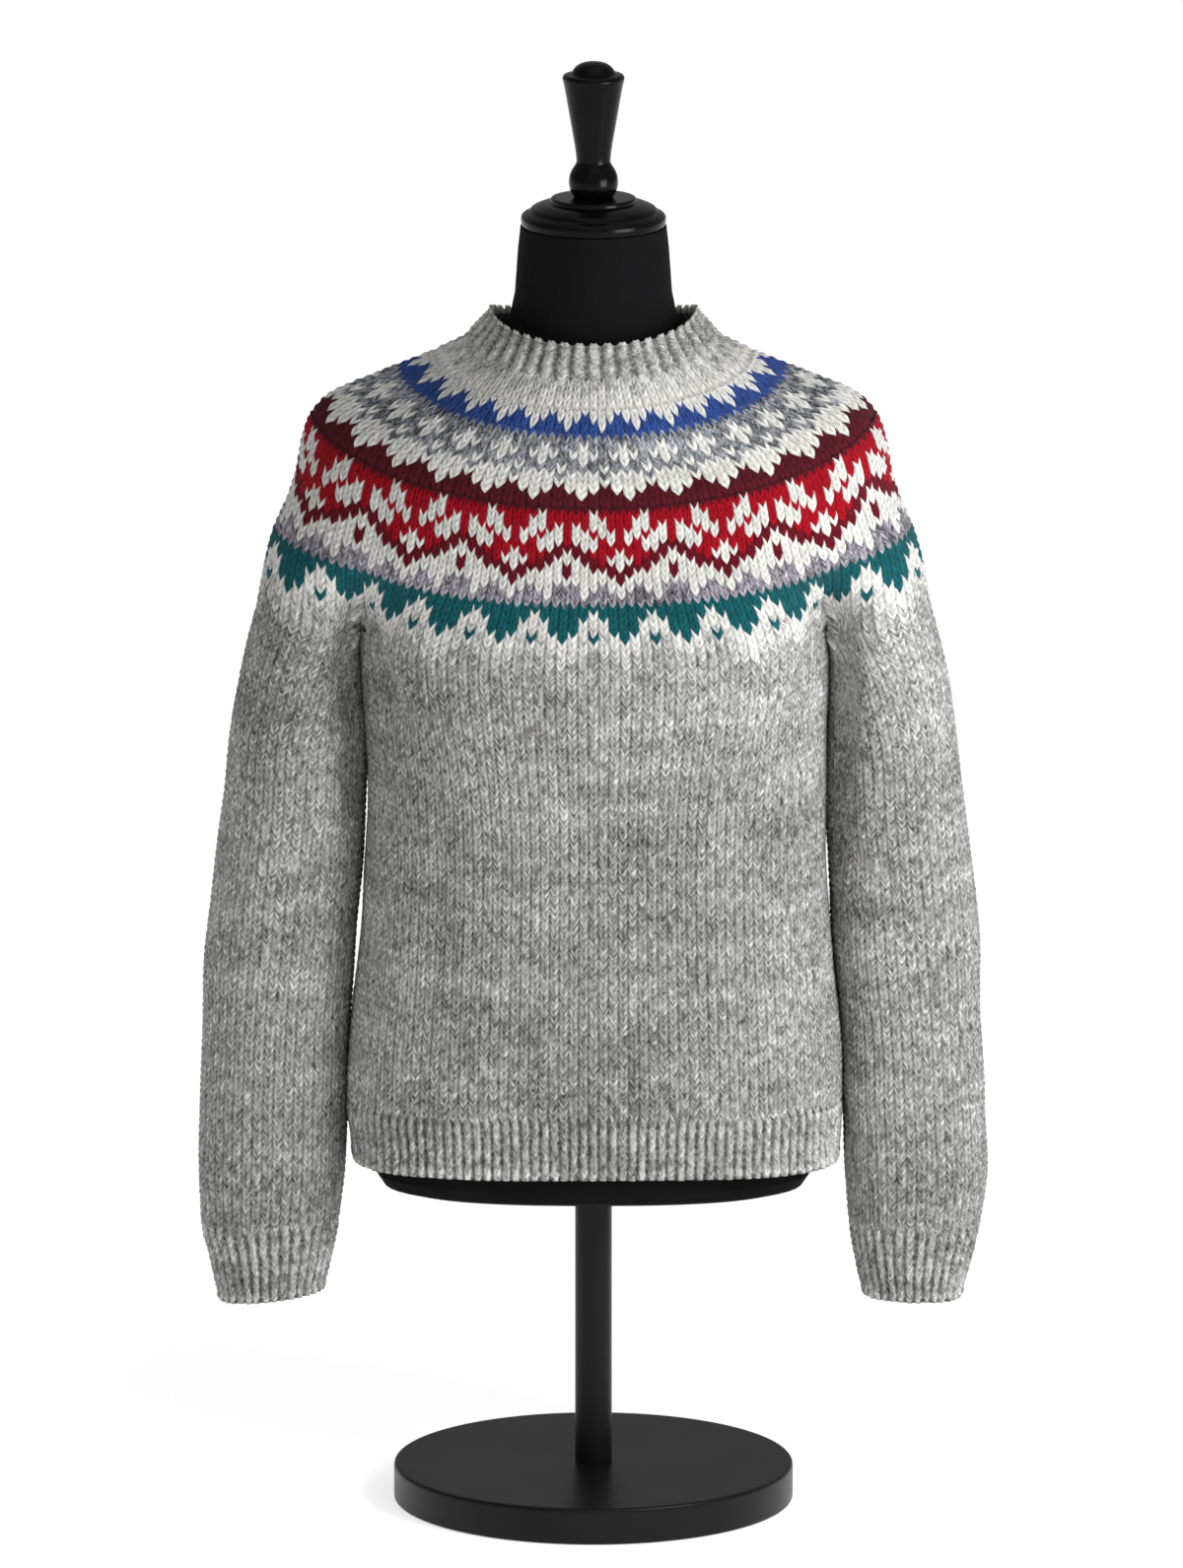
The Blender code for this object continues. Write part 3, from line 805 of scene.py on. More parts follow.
@dataclass
class Outline:
    """The line where the yoke parts into the body and the two sleeves.

    Seen from above, the sleeve's oval overlaps the body's. The yoke's last ring follows
    the body's oval to the crease, then the sleeve's outside the body, then the body's.

    Attributes:
        body_oval: half width, front, back and power.
        sleeve_oval: inner side, outer side, half depth, middle and power.
        front_stitches: stitches from the middle front, or the middle back, to the crease.
        arm_stitches: stitches over the arm.
        under_stitches: stitches that the body adds under each arm.
        gusset_stitches: stitches that the sleeve adds under the arm.
        per_stitch: columns of points in a stitch.
    """

    body_oval: Row = (190.0, -126.0, 106.5, 2.6)
    sleeve_oval: Row = (183.0, 272.5, 66.0, -4.0, 2.2)
    front_stitches: float = 25.5
    arm_stitches: int = 27
    under_stitches: int = 13
    gusset_stitches: int = 15
    per_stitch: int = 4

    def __post_init__(self) -> None:
        """Finds the four stretches and spaces the columns along them."""
        front, over, back, under = self._stretches()
        steps = int(self.front_stitches * self.per_stitch)
        arm = self.arm_stitches * self.per_stitch
        front = at_shares(front, np.linspace(0, 1, steps + 1))
        back = at_shares(back, np.linspace(0, 1, steps + 1))
        over = at_shares(over, np.linspace(0, 1, arm + 1))
        self.first, self.last = steps, steps + arm
        self.parting = np.concatenate([front[:-1], over[:-1], back])
        self.yoke_shares = shares_along(self.parting)
        oval = half_ring(YOKE_ROWS[1.0], self.yoke_shares)
        self.crease = self.parting - oval[:, :2]
        self.parting_z = oval[:, 2]
        self.under = self._under_arm(under, self.under_stitches)
        self.gusset = self._under_arm(under, self.gusset_stitches)
        self.body_top = np.concatenate([
            self.ring_points()[:self.first], self.under[:-1], self.ring_points()[self.last:]])

    def _stretches(self) -> tuple[Array, Array, Array, Array]:
        """Cuts the two ovals where they cross: front, over the arm, back, under the arm."""
        half, front, back, power = self.body_oval
        inner, outer, arm_deep, arm_middle, arm_power = self.sleeve_oval
        middle, deep = (front + back) / 2, (back - front) / 2
        angle = np.linspace(-np.pi, np.pi, 2 * HALF_OVAL)
        x = (inner + outer) / 2 + (outer - inner) / 2 * signed_power(np.cos(angle), 2 / arm_power)
        y = arm_middle + arm_deep * signed_power(np.sin(angle), 2 / arm_power)
        outside = (np.abs(x) / half) ** power + (np.abs(y - middle) / deep) ** power > 1
        over = np.stack([x, y], axis=1)[outside]

        def stretch(low: float, high: float) -> Array:
            """Follows the body's oval between two turns."""
            turn = np.linspace(low, high, HALF_OVAL)
            return np.stack([half * np.abs(np.cos(turn)) ** (2 / power),
                             middle + deep * signed_power(np.sin(turn), 2 / power)], axis=1)

        turns = [float(np.arcsin(signed_power((y_end - middle) / deep, power / 2)))
                 for y_end in (over[0, 1], over[-1, 1])]
        front_line, back_line = stretch(-np.pi / 2, turns[0]), stretch(turns[1], np.pi / 2)
        over[0], over[-1] = front_line[-1], back_line[0]
        return front_line, over, back_line, stretch(*turns)

    def _under_arm(self, line: Array, stitches: int) -> Array:
        """Spaces columns along the underarm, its height going from crease to crease."""
        steps = stitches * self.per_stitch
        plan = at_shares(line, np.linspace(0, 1, steps + 1))
        height = np.linspace(self.parting_z[self.first], self.parting_z[self.last], steps + 1)
        return np.column_stack([plan, height])

    def ring_points(self) -> Array:
        """Gives the +X half of the parting line in space."""
        return np.column_stack([self.parting, self.parting_z])

    def yoke_half(self, share: float, shares: Array | None = None) -> Array:
        """Makes the +X half of a yoke ring, its creases forming towards the underarms.

        Args:
            share: 0 at the neck, 1 at the underarms.
            shares: shares around, or None for the parting line's columns.

        Returns:
            The half ring's points.
        """
        row = tuple(table_rows(YOKE_ROWS, share)[0])
        if shares is not None:
            return half_ring(row, shares)
        half = half_ring(row, self.yoke_shares)
        half[:, :2] += self.crease * smooth_step((share - 0.70) / 0.30)
        return half


@dataclass(frozen=True)
class YokeZone:
    """A stretch of the yoke that keeps one stitch count.

    Attributes:
        first: its first knitted row.
        wales: stitches around.
        chart: one word of yarn letters for each row.
        shift: stitches from the middle front to the chart's first column.
        folded: whether the chart is mirrored about its ends.
    """

    first: int
    wales: int
    chart: tuple[str, ...]
    shift: int = 0
    folded: bool = False


ZONES = (
    YokeZone(0, 96, ("hhh", "hih", "iih", "iii")),
    YokeZone(4, 112, ("iiii", "biii", "bbib", "bbbb", "mmmm", "immm", "iimi", "immm",
                      "mmim", "iimi", "iiii", "iiui", "iuuu", "uuuu"), shift=-1),
    YokeZone(18, 156, ("uuuuuuu", "rrrirrr", "rriirrr", "rriirir", "riiriir", "ririiir", "rrriidd",
                       "irrrddi", "iirddii", "idddiid", "ddiiiid", "diiiiii", "iiliill",
                       "illlill", "lllllll"), shift=3, folded=True),
    YokeZone(33, 156, ("tttttt", "ittttt", "iittti", "hittti", "thitih", "hhiiih",
                       "ghhihh", "gghhhg", "ggghgg")),
)
YOKE_COURSES = ZONES[-1].first + len(ZONES[-1].chart)
PARTING_WALES = ZONES[-1].wales
ROW_KNOTS = (0, 5, 8, 15, 19, 33, 38, YOKE_COURSES)
SHARE_KNOTS = (0.0, 0.12, 0.205, 0.39, 0.483, 0.79, 0.91, 1.0)
# the share that a row takes up above the first row and below the last, and a row's height
SHARE_ABOVE, SHARE_BELOW = 0.024, 0.0225
ROW_HEIGHT = 6.0


def share_of_row(row: Array | float) -> Array:
    """Turns a yoke row count into a share of the yoke, straight on past its ends."""
    row = np.asarray(row, float)
    share = np.interp(row, ROW_KNOTS, SHARE_KNOTS)
    past = np.maximum(row - YOKE_COURSES, 0.0)
    return share + np.minimum(row, 0.0) * SHARE_ABOVE + past * SHARE_BELOW


@dataclass
class Yoke:
    """The patterned round yoke, worked from the neck down in three stitch counts.

    Attributes:
        outline: where the yoke parts.
        thick: thickness of the wall.
        flat: widest round and depth, before it was shaped; not used.
        area: flat area in square metres; the cut narrows to the neck; not used.
        last_ring: the last ring of points, once the yoke is knitted.
    """

    outline: Outline
    thick: float = 2.6
    flat: tuple[float, float] = (1.40, 0.29)
    area: float = 0.29
    last_ring: Array | None = None

    def surface(self, wales: int, start: float, stop: float) -> Array:
        """Makes smooth rings at every half row.

        Args:
            wales: stitches around; with PARTING_WALES, the parting line's own columns.
            start: first row count.
            stop: last row count.

        Returns:
            Rings by columns by 3.
        """
        spacing = None if wales == PARTING_WALES else np.linspace(0, 1, 2 * wales + 1)
        rings = []
        for share in share_of_row(half_rows(start, stop)):
            half = self.outline.yoke_half(float(share), spacing)
            rings.append(whole_ring(half, half))
        return drape(np.array(rings))

    def build(self) -> bpy.types.Object:
        """Knits the zones, joins them, and closes the wall.

        Returns:
            The yoke.
        """
        cloth = Cloth("yoke_knit", strips=2)
        upper, first = None, None
        groups = (ZONES[0],), (ZONES[1],), (ZONES[2], ZONES[3])
        joins = (Yarn.IVORY, Yarn.IVORY, Yarn.WINE)
        for seed, (group, join) in enumerate(zip(groups, joins), start=11):
            wales, begin = group[0].wales, group[0].first
            end = group[-1].first + len(group[-1].chart)
            courses = half_rows(begin, end)
            surface = self.surface(wales, begin - 1, end)
            tail = 1.0 if end == YOKE_COURSES else smooth_step(end - courses)
            lean = np.minimum(smooth_step(courses - begin), tail)
            if begin == 0:
                lean = np.ones_like(courses)
            knitting = Knitting(PLAIN, wales, seed=seed)
            grid, relief = knitting.work(surface, begin - 1, courses, lean)
            colours = [chart_colours(z.chart, wales, z.shift, z.folded) for z in group]
            dyes = uneven(np.concatenate(colours), seed + 40)
            number = cloth.add_points(grid, relief)
            down = 0.82 * courses / YOKE_COURSES
            cloth.add_quads(number, down, courses, wales,
                            knitting.face_dyes(dyes, courses - begin))
            if upper is not None:
                cloth.add_zip(upper, number[0], (down[0], down[0]), join.dye)
            else:
                first = number[0]
            upper = number[-1]
            self.last_ring = grid[-1]
        lining = self.surface(PARTING_WALES, 0, YOKE_COURSES)[::6]
        inside = close_wall(cloth, upper, lining, (0.83, LINING_SHARE), self.thick, 0.0,
                            Yarn.PALE.dye)
        cloth.add_zip(inside, first, (LINING_SHARE, 1.0), Yarn.PALE.dye)
        cloth.edges += [first, upper]
        piece = cloth.finish()
        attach(piece, "root")
        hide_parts("yoke")
        return piece


@dataclass
class Body:
    """The body tube, worked down from the yoke and the two underarms.

    Attributes:
        outline: where the yoke parts.
        hem_top: height where the ribbing starts.
        courses: knitted rows.
        thick: thickness of the wall.
        flat: round and length before it was joined on; not used.
    """

    outline: Outline
    hem_top: float = 337.0
    courses: int = 64
    thick: float = 2.6
    flat: tuple[float, float] = (1.05, 0.395)

    def ring(self, share: float) -> Array:
        """Makes a ring whose columns even out lower down.

        Args:
            share: 0 at the underarms, 1 at the hem.

        Returns:
            The ring's points.
        """
        top = self.outline.body_top
        spaced = shares_along(top[:, :2])
        even = np.linspace(0, 1, len(top))
        mixed = spaced + (even - spaced) * smooth_step(share / 0.4)
        left, right, front, back, power = table_rows(BODY_ROWS, share)[0]
        height = (1 - share) * top[:, 2] + share * self.hem_top
        sides = []
        for reach in (right, left):
            half = half_ring((reach, 0.0, front, 0.0, back, 0.0, power, 1.0), mixed)
            half[:, 2] = height
            sides.append(half)
        return whole_ring(*sides)

    def surface(self) -> Array:
        """Makes smooth rings at every half row, from one row above the parting line.

        The rings above it follow the yoke where the two are joined, and go straight up
        under the arms.

        Returns:
            Rings by columns by 3.
        """
        shares = np.array([0.0, 0.06, 0.14, 0.27, 0.42, 0.57, 0.72, 0.87, 1.0])
        rings = np.array([self.ring(share) for share in shares])
        rings[0] = whole_ring(self.outline.body_top, self.outline.body_top)
        below = through(shares, rings, half_rows(0, self.courses) / self.courses)
        first, last = self.outline.first, self.outline.last
        above = []
        for row in (-1.0, -0.5):
            half = self.outline.body_top.copy()
            yoke = self.outline.yoke_half(float(share_of_row(YOKE_COURSES + row)))
            half[:first + 1] = yoke[:first + 1]
            half[-(len(yoke) - last):] = yoke[last:]
            half[first + 1:-(len(yoke) - last), 2] -= row * ROW_HEIGHT
            above.append(whole_ring(half, half))
        return drape(np.concatenate([np.array(above), below]))

    def build(self, yoke_ring: Array) -> bpy.types.Object:
        """Knits the body down from the yoke's last ring.

        Args:
            yoke_ring: the yoke's last ring of points.

        Returns:
            The body.
        """
        wales = 2 * int(2 * self.outline.front_stitches + self.outline.under_stitches)
        knitting = Knitting(PLAIN, wales, seed=21)
        courses = half_rows(0, self.courses)
        surface = self.surface()
        grid, relief = knitting.work(surface, -1.0, courses, np.ones_like(courses))
        first = self.outline.first
        grid[0, :first + 1] = yoke_ring[:first + 1]
        grid[0, -first:] = yoke_ring[-first:]
        middle = len(grid[0]) // 2
        far = len(yoke_ring) // 2
        grid[0, middle - first:middle + first + 1] = yoke_ring[far - first:far + first + 1]
        cloth = Cloth("body_knit")
        number = cloth.add_points(grid, relief)
        grey = np.broadcast_to(Yarn.GREY.dye, (self.courses, wales, 4))
        cloth.add_quads(number, OUTER_SHARE * courses / self.courses, courses, wales,
                        knitting.face_dyes(uneven(grey, 61, 0.055), courses))
        close_tube(cloth, number, surface[2:-1:9], self.thick, 0.0, wales, Yarn.GREY.dye)
        cloth.edges += [number[0], number[-1]]
        piece = cloth.finish()
        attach(piece, "root")
        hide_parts("body")
        return piece


@dataclass
class Sleeve:
    """A sleeve tube; both sleeves are worked on the +X side, and the left is turned over.

    Attributes:
        outline: where the yoke parts.
        name: the piece's name.
        node: the solid it stands for.
        rows: z, inner, outer, deep, middle, slant and power of each ring.
        left: whether it is the left sleeve.
        seed: number that fixes the random values.
        courses: knitted rows.
        thick: thickness of the wall.
        flat: widest round and length before it was joined on; not used.
    """

    outline: Outline
    name: str
    node: str
    rows: tuple[Row, ...]
    left: bool
    seed: int
    courses: int = 85
    thick: float = 2.6
    flat: tuple[float, float] = (0.34, 0.52)

    def top(self) -> Array:
        """Gives the first ring: over the arm from crease to crease, then under it."""
        over = self.outline.ring_points()[self.outline.first:self.outline.last]
        return np.concatenate([over, self.outline.gusset[:0:-1]])

    def surface(self) -> tuple[Array, int]:
        """Makes smooth rings at every half row, from one row above the parting line.

        Returns:
            Rings by columns by 3, and how many columns lie over the arm.
        """
        top = self.top()
        columns = len(top)
        over = self.outline.last - self.outline.first
        share = shares_along(np.concatenate([top, top[:1]]))[:-1]
        even = np.arange(columns) / columns
        gap = 1 - share[over]
        wales = columns // self.outline.per_stitch
        even_start = self.outline.gusset_stitches / 2 / wales
        rings, knots = [top], [0.0]
        middle_z = top[:, 2].mean()
        for row in self.rows:
            depth = (middle_z - row[0]) / (middle_z - self.rows[-1][0])
            settled = smooth_step(depth / 0.16)
            mixed = share + (even - share) * settled
            start = gap / 2 * (1 - settled) + even_start * settled
            rings.append(sleeve_oval(row, (mixed + start) % 1.0))
            knots.append(depth)
        below = through(np.array(knots), np.array(rings),
                        half_rows(0, self.courses) / self.courses)
        above = []
        for row in (-1.0, -0.5):
            ring = top.copy()
            yoke = self.outline.yoke_half(float(share_of_row(YOKE_COURSES + row)))
            ring[:over + 1] = yoke[self.outline.first:self.outline.last + 1]
            ring[over + 1:, 2] -= row * ROW_HEIGHT
            above.append(ring)
        return drape_side(np.concatenate([np.array(above), below]), self.left), over

    def build(self, yoke_ring: Array) -> bpy.types.Object:
        """Knits the sleeve down from the yoke's last ring.

        Args:
            yoke_ring: the yoke's last ring of points.

        Returns:
            The sleeve.
        """
        surface, over = self.surface()
        wales = surface.shape[1] // PLAIN.columns
        knitting = Knitting(PLAIN, wales, first=2, seed=self.seed)
        courses = half_rows(0, self.courses)
        grid, relief = knitting.work(surface, -1.0, courses, np.ones_like(courses))
        column = np.arange(self.outline.first, self.outline.last + 1)
        edge = yoke_ring[-column] * (-1, 1, 1) if self.left else yoke_ring[column]
        grid[0, :over + 1] = edge
        cloth = Cloth(self.name)
        number = cloth.add_points(grid, relief)
        grey = np.broadcast_to(Yarn.GREY.dye, (self.courses, wales, 4))
        cloth.add_quads(number, OUTER_SHARE * courses / self.courses, courses, wales,
                        knitting.face_dyes(uneven(grey, self.seed + 40, 0.055), courses))
        close_tube(cloth, number, surface[2:-1:9], self.thick, 0.0, wales, Yarn.GREY.dye)
        cloth.edges += [number[0], number[-1]]
        piece = cloth.finish(mirrored=self.left)
        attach(piece, "root")
        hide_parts(self.node)
        return piece


def sleeve_oval(row: Row, shares: Array) -> Array:
    """Makes a sleeve ring that starts at its inner front and turns counter-clockwise.

    The plan is a superellipse between the inner and outer sides, and its outer side hangs
    lower by the slant.

    Args:
        row: z, inner, outer, deep, middle, slant and power.
        shares: shares of the ring's length, from its innermost point.

    Returns:
        One point for each share.
    """
    z, inner, outer, deep, middle, slant, power = row
    angle = np.linspace(-np.pi, np.pi, 2 * HALF_OVAL)
    cosine = signed_power(np.cos(angle), 2 / power)
    oval = np.stack([
        (inner + outer) / 2 + (outer - inner) / 2 * cosine,
        middle + deep * signed_power(np.sin(angle), 2 / power),
        z - slant * cosine,
    ], axis=1)
    return at_shares(oval, shares)


# the neckband's yarn, and how much lighter the cast-on row catches the light
NECK_DYE = np.append(linear((186, 186, 183)), 0.85)
CAST_ON_LIGHT = 1.22


@dataclass
class Ribbing:
    """A ribbed edge: the hem, a cuff or the neckband.

    Attributes:
        name: the piece's name.
        node: the solid it stands for.
        ridges: ribs around.
        courses: knitted rows.
        thick: thickness of the wall.
        rim: how far the free rim bulges.
        flat: size before it was joined on; not used.
        joined: the piece it hangs from; not used.
        seed: number that fixes the random values.
        dye: its yarn.
        height: scale of the ribs' relief.
    """

    name: str
    node: str
    ridges: int
    courses: int
    thick: float
    rim: float
    flat: tuple[float, float]
    joined: str
    seed: int
    dye: Yarn = Yarn.GREY
    height: float = 1.0

    def build(self, rings: Array, knots: Array, mirrored: bool = False) -> bpy.types.Object:
        """Knits the ribbing on a surface through the given rings.

        The first rows tuck in under the piece above, and the cast-on row stands out a little.

        Args:
            rings: rings from the join to the free rim, by columns by 3.
            knots: each ring's share of the way.
            mirrored: whether the piece is turned over to the other side of X.

        Returns:
            The ribbing.
        """
        courses = half_rows(-1.0, self.courses)
        row = half_rows(-2.0, self.courses)
        smooth = drape_side(through(knots, rings, row / self.courses), mirrored)
        tuck = -1.7 * smooth_step((0.6 - row) / 1.2)
        curl = 0.7 * smooth_step((row - self.courses + 1.4) / 0.9)
        surface = smooth + outward(smooth) * (tuck + curl)[:, None, None]
        lean = np.minimum(smooth_step(self.courses - courses), smooth_step(courses + 1.0))
        knitting = Knitting(RIB, self.ridges, seed=self.seed, height=self.height)
        grid, relief = knitting.work(surface, -2.0, courses, lean)
        cloth = Cloth(self.name)
        number = cloth.add_points(grid, relief)
        dyes = np.tile(self.dye.dye, (self.courses + 1, self.ridges, 1))
        # painted highlight: the cast-on row's dye is made lighter, as if it caught more light
        dyes[-1, :, :3] *= CAST_ON_LIGHT
        shares = OUTER_SHARE * (courses + 1) / (self.courses + 1)
        cloth.add_quads(number, shares, courses, self.ridges,
                        knitting.face_dyes(uneven(dyes, self.seed + 40), courses + 1))
        close_tube(cloth, number, smooth[1::4], self.thick, self.rim, self.ridges,
                   self.dye.dye)
        cloth.edges += [number[0]]
        piece = cloth.finish(mirrored=mirrored)
        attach(piece, "root")
        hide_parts(self.node)
        return piece


@dataclass
class Edges:
    """The hem, the cuffs and the neckband, with the rings that they are worked on.

    Attributes:
        hem_top: height where the hem's ribbing starts.
        hem_bottom: height of the hem's free rim.
        wall: thickness of the hem and the cuffs.
        rim: how far their free rims bulge.
    """

    hem_top: float = 337.0
    hem_bottom: float = 290.0
    wall: float = 2.8
    rim: float = 1.2

    def hem(self) -> bpy.types.Object:
        """Works the hem below the body.

        Returns:
            The hem.
        """
        ridges = 132
        part = Ribbing("hem_ribbing", "hem_rib", ridges, 8, self.wall, self.rim, (1.04, 0.058),
                       "body_knit", 31)
        spaced = np.linspace(0, 1, ridges * RIB.columns // 2 + 1)
        shares = np.array([-0.14, 0.0, 0.5, 1.0])
        rings = []
        for share in shares:
            left, right, front, back, power = table_rows(HEM_ROWS, max(share, 0.0))[0]
            height = self.hem_top + (self.hem_bottom - self.hem_top) * share
            row = (front, height, back, height, power, 1.0)
            rings.append(whole_ring(half_ring((right, height, *row), spaced),
                                    half_ring((left, height, *row), spaced)))
        return part.build(np.array(rings), shares)

    def cuff(self, name: str, node: str, rows: tuple[Row, ...], joined: str, left: bool,
             seed: int) -> bpy.types.Object:
        """Works a cuff below a sleeve.

        Args:
            name: the piece's name.
            node: the solid it stands for.
            rows: z, inner, outer, deep, middle, slant and power of each ring.
            joined: the sleeve it is worked on.
            left: whether it is the left cuff.
            seed: number that fixes the random values.

        Returns:
            The cuff.
        """
        ridges = 34
        columns = ridges * RIB.columns
        part = Ribbing(name, node, ridges, 10, self.wall, self.rim, (0.29, 0.066), joined, seed)
        spaced = (np.arange(columns) / columns + 0.18) % 1.0
        rings = np.array([sleeve_oval(row, spaced) for row in rows])
        heights = np.array([row[0] for row in rows])
        knots = (heights[0] - heights) / (heights[0] - heights[-1])
        return part.build(rings, knots, mirrored=left)

    def neckband(self) -> bpy.types.Object:
        """Works the neckband, from the yoke up to its rounded rim.

        Returns:
            The neckband.
        """
        ridges, courses, thick = 44, 7, 5.2
        spaced = np.linspace(0, 1, ridges * RIB.columns // 2 + 1)
        join = np.array(YOKE_ROWS[0.0])
        step = np.array(YOKE_ROWS[0.12]) - join
        table = {-0.22: tuple(join + 0.20 * step), 0.0: YOKE_ROWS[0.0], **NECK_ROWS}
        knots = 1.0 - np.array(list(table))[::-1]
        rings = np.array([whole_ring(half_ring(row, spaced), half_ring(row, spaced))
                          for row in list(table.values())[::-1]])
        count = half_rows(0.0, courses + 1.3)
        smooth = drape(through(knots, rings, count / courses))
        normal = outward(smooth)
        thin = 1.5 * smooth_step((count - courses + 1.2) / 2.2)
        surface = smooth + normal * (1.0 - thin)[:, None, None]
        knitting = Knitting(RIB, ridges, seed=33, height=1.05)
        lattice = half_rows(0.5, courses + 1.0)
        lean = smooth_step(lattice - 0.5)
        grid, relief = knitting.work(surface, 0.0, lattice, lean)
        cloth = Cloth("neckband_ribbing")
        lining = (smooth[1:] - normal[1:] * (thick - 1.0))[::-3]
        number = cloth.add_points(grid, relief)
        top_out, top_in = grid[0], lining[-1]
        turn = np.radians([155.0, 130.0, 105.0, 80.0, 55.0, 28.0])
        up = np.array([0.0, 0.0, 3.1])
        middle, reach = (top_out + top_in) / 2, (top_out - top_in) / 2
        ridge = knitting.column_values(RIB.high)
        up = up + ridge[:, None] * (0.0, 0.0, 0.9)
        roll = (middle + np.cos(turn)[:, None, None] * reach
                + np.sin(turn)[:, None, None] * up)
        lifted = (ridge - ridge.min()) / np.ptp(ridge)
        inner = cloth.add_points(
            np.concatenate([lining, roll]),
            np.broadcast_to(lifted, (len(lining) + len(roll), grid.shape[1])))
        dyes = np.broadcast_to(NECK_DYE, (courses + 1, ridges, 4))
        wall_share = 0.70
        cloth.add_quads(number, wall_share * (lattice - 0.5) / (courses + 0.5), lattice, ridges,
                        knitting.face_dyes(uneven(dyes, 73), lattice))
        loop = np.concatenate([number[-1:], inner, number[:1]])
        shares = np.linspace(wall_share, 1.0, len(loop))
        turns = np.linspace(courses + 1.0, -2.0, len(loop))
        cloth.add_quads(loop, shares, turns, ridges, NECK_DYE)
        cloth.edges += [number[-1]]
        piece = cloth.finish()
        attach(piece, "root")
        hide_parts("neck_rib")
        return piece


SLEEVE_LEFT: tuple[Row, ...] = (
    (690.0, 186.6, 285.5, 65.0, -3.0, -6.0, 2.2),
    (641.0, 183.8, 293.5, 62.0, -2.0, -3.0, 2.2),
    (590.0, 184.4, 299.5, 58.0, -1.0, 0.0, 2.2),
    (530.0, 187.9, 307.0, 54.0, 0.0, 2.0, 2.3),
    (470.0, 192.5, 313.5, 51.5, 0.0, 3.0, 2.3),
    (400.0, 198.2, 318.0, 50.0, -1.0, 3.0, 2.3),
    (335.0, 200.9, 319.5, 50.0, -3.0, 3.0, 2.3),
    (281.0, 202.0, 320.5, 50.0, -5.0, 3.0, 2.3),
    (231.0, 208.0, 318.5, 46.5, -6.0, 3.5, 2.3),
)
SLEEVE_RIGHT: tuple[Row, ...] = (
    (690.0, 190.6, 285.5, 65.0, -3.0, -6.0, 2.2),
    (641.0, 189.0, 293.5, 62.0, -2.0, -3.0, 2.2),
    (590.0, 188.8, 299.5, 58.0, -1.0, 0.0, 2.2),
    (530.0, 190.2, 307.0, 54.0, 0.0, 2.0, 2.3),
    (470.0, 193.6, 313.0, 51.5, 0.0, 3.0, 2.3),
    (400.0, 200.8, 315.5, 50.0, -1.0, 3.0, 2.3),
    (335.0, 203.4, 318.0, 50.0, -3.0, 3.0, 2.3),
    (281.0, 205.0, 320.5, 50.0, -5.0, 3.0, 2.3),
    (231.0, 208.5, 314.0, 46.5, -6.0, 2.0, 2.3),
)
CUFF_LEFT: tuple[Row, ...] = (
    (231.0, 208.0, 318.5, 46.5, -6.0, 3.5, 2.3),
    (212.0, 211.5, 313.0, 41.5, -6.5, 4.0, 2.2),
    (192.0, 216.0, 308.5, 37.0, -7.0, 4.5, 2.2),
    (173.0, 220.5, 304.0, 33.5, -7.5, 5.0, 2.2),
)
CUFF_RIGHT: tuple[Row, ...] = (
    (231.0, 208.5, 314.0, 46.5, -6.0, 2.0, 2.3),
    (212.0, 211.5, 309.0, 41.5, -6.5, 2.0, 2.2),
    (192.0, 215.6, 304.0, 37.0, -7.0, 1.5, 2.2),
    (172.0, 220.9, 298.6, 33.5, -7.5, 1.0, 2.2),
)


# ---------------------------------------------------------------- the stand

@dataclass(frozen=True)
class Turning:
    """A turned piece of the stand.

    Attributes:
        name: the piece's name.
        node: the solid it stands for.
        profile: radius and height down its outer side.
        sides: columns around.
        slot: the record's material slot.
        round_by: how many times the profile's corners are cut.
    """

    name: str
    node: str
    profile: tuple[tuple[float, float], ...]
    sides: int
    slot: str
    round_by: int = 2

    def softened(self) -> Array:
        """Cuts each corner of the profile at a fifth of its two sides.

        Returns:
            Radius and height, from the axis at the top to the axis at the bottom.
        """
        line = np.array(self.profile)
        for _ in range(self.round_by):
            way = np.diff(line, axis=0)
            cut = np.stack([line[:-1] + 0.2 * way, line[1:] - 0.2 * way], axis=1)
            line = np.concatenate([line[:1], cut.reshape(-1, 2), line[-1:]])
        top, bottom = (0.0, line[0, 1]), (0.0, line[-1, 1])
        return np.concatenate([[top], line, [bottom]])

    def build(self) -> bpy.types.Object:
        """Turns the profile about Z, with one point at each pole.

        Returns:
            The turned piece.
        """
        line = self.softened()
        angle = np.linspace(0, 2 * np.pi, self.sides, endpoint=False)
        radius, height = line[1:-1, 0], line[1:-1, 1]
        grid = np.stack([
            radius[:, None] * np.cos(angle), radius[:, None] * np.sin(angle),
            np.broadcast_to(height[:, None], (len(height), self.sides)),
        ], axis=2).reshape(-1, 3)
        poles = np.array([[0, 0, line[0, 1]], [0, 0, line[-1, 1]]])
        number = np.arange(len(height) * self.sides).reshape(-1, self.sides)
        ahead = np.roll(number, -1, axis=1)
        quads = np.stack([number[:-1], number[1:], ahead[1:], ahead[:-1]], axis=2)
        top = np.stack([np.full(self.sides, len(grid)), number[0], ahead[0]], axis=1)
        bottom = np.stack([np.full(self.sides, len(grid) + 1), ahead[-1], number[-1]], axis=1)
        mesh = bpy.data.meshes.new(self.name)
        mesh.from_pydata((np.concatenate([grid, poles]) * MM).tolist(), [],
                         quads.reshape(-1, 4).tolist() + top.tolist() + bottom.tolist())
        mesh.shade_smooth()
        mesh.set_sharp_from_angle(angle=np.radians(38))
        piece = add_object(self.name, mesh)
        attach(piece, "root")
        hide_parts(self.node)
        return piece


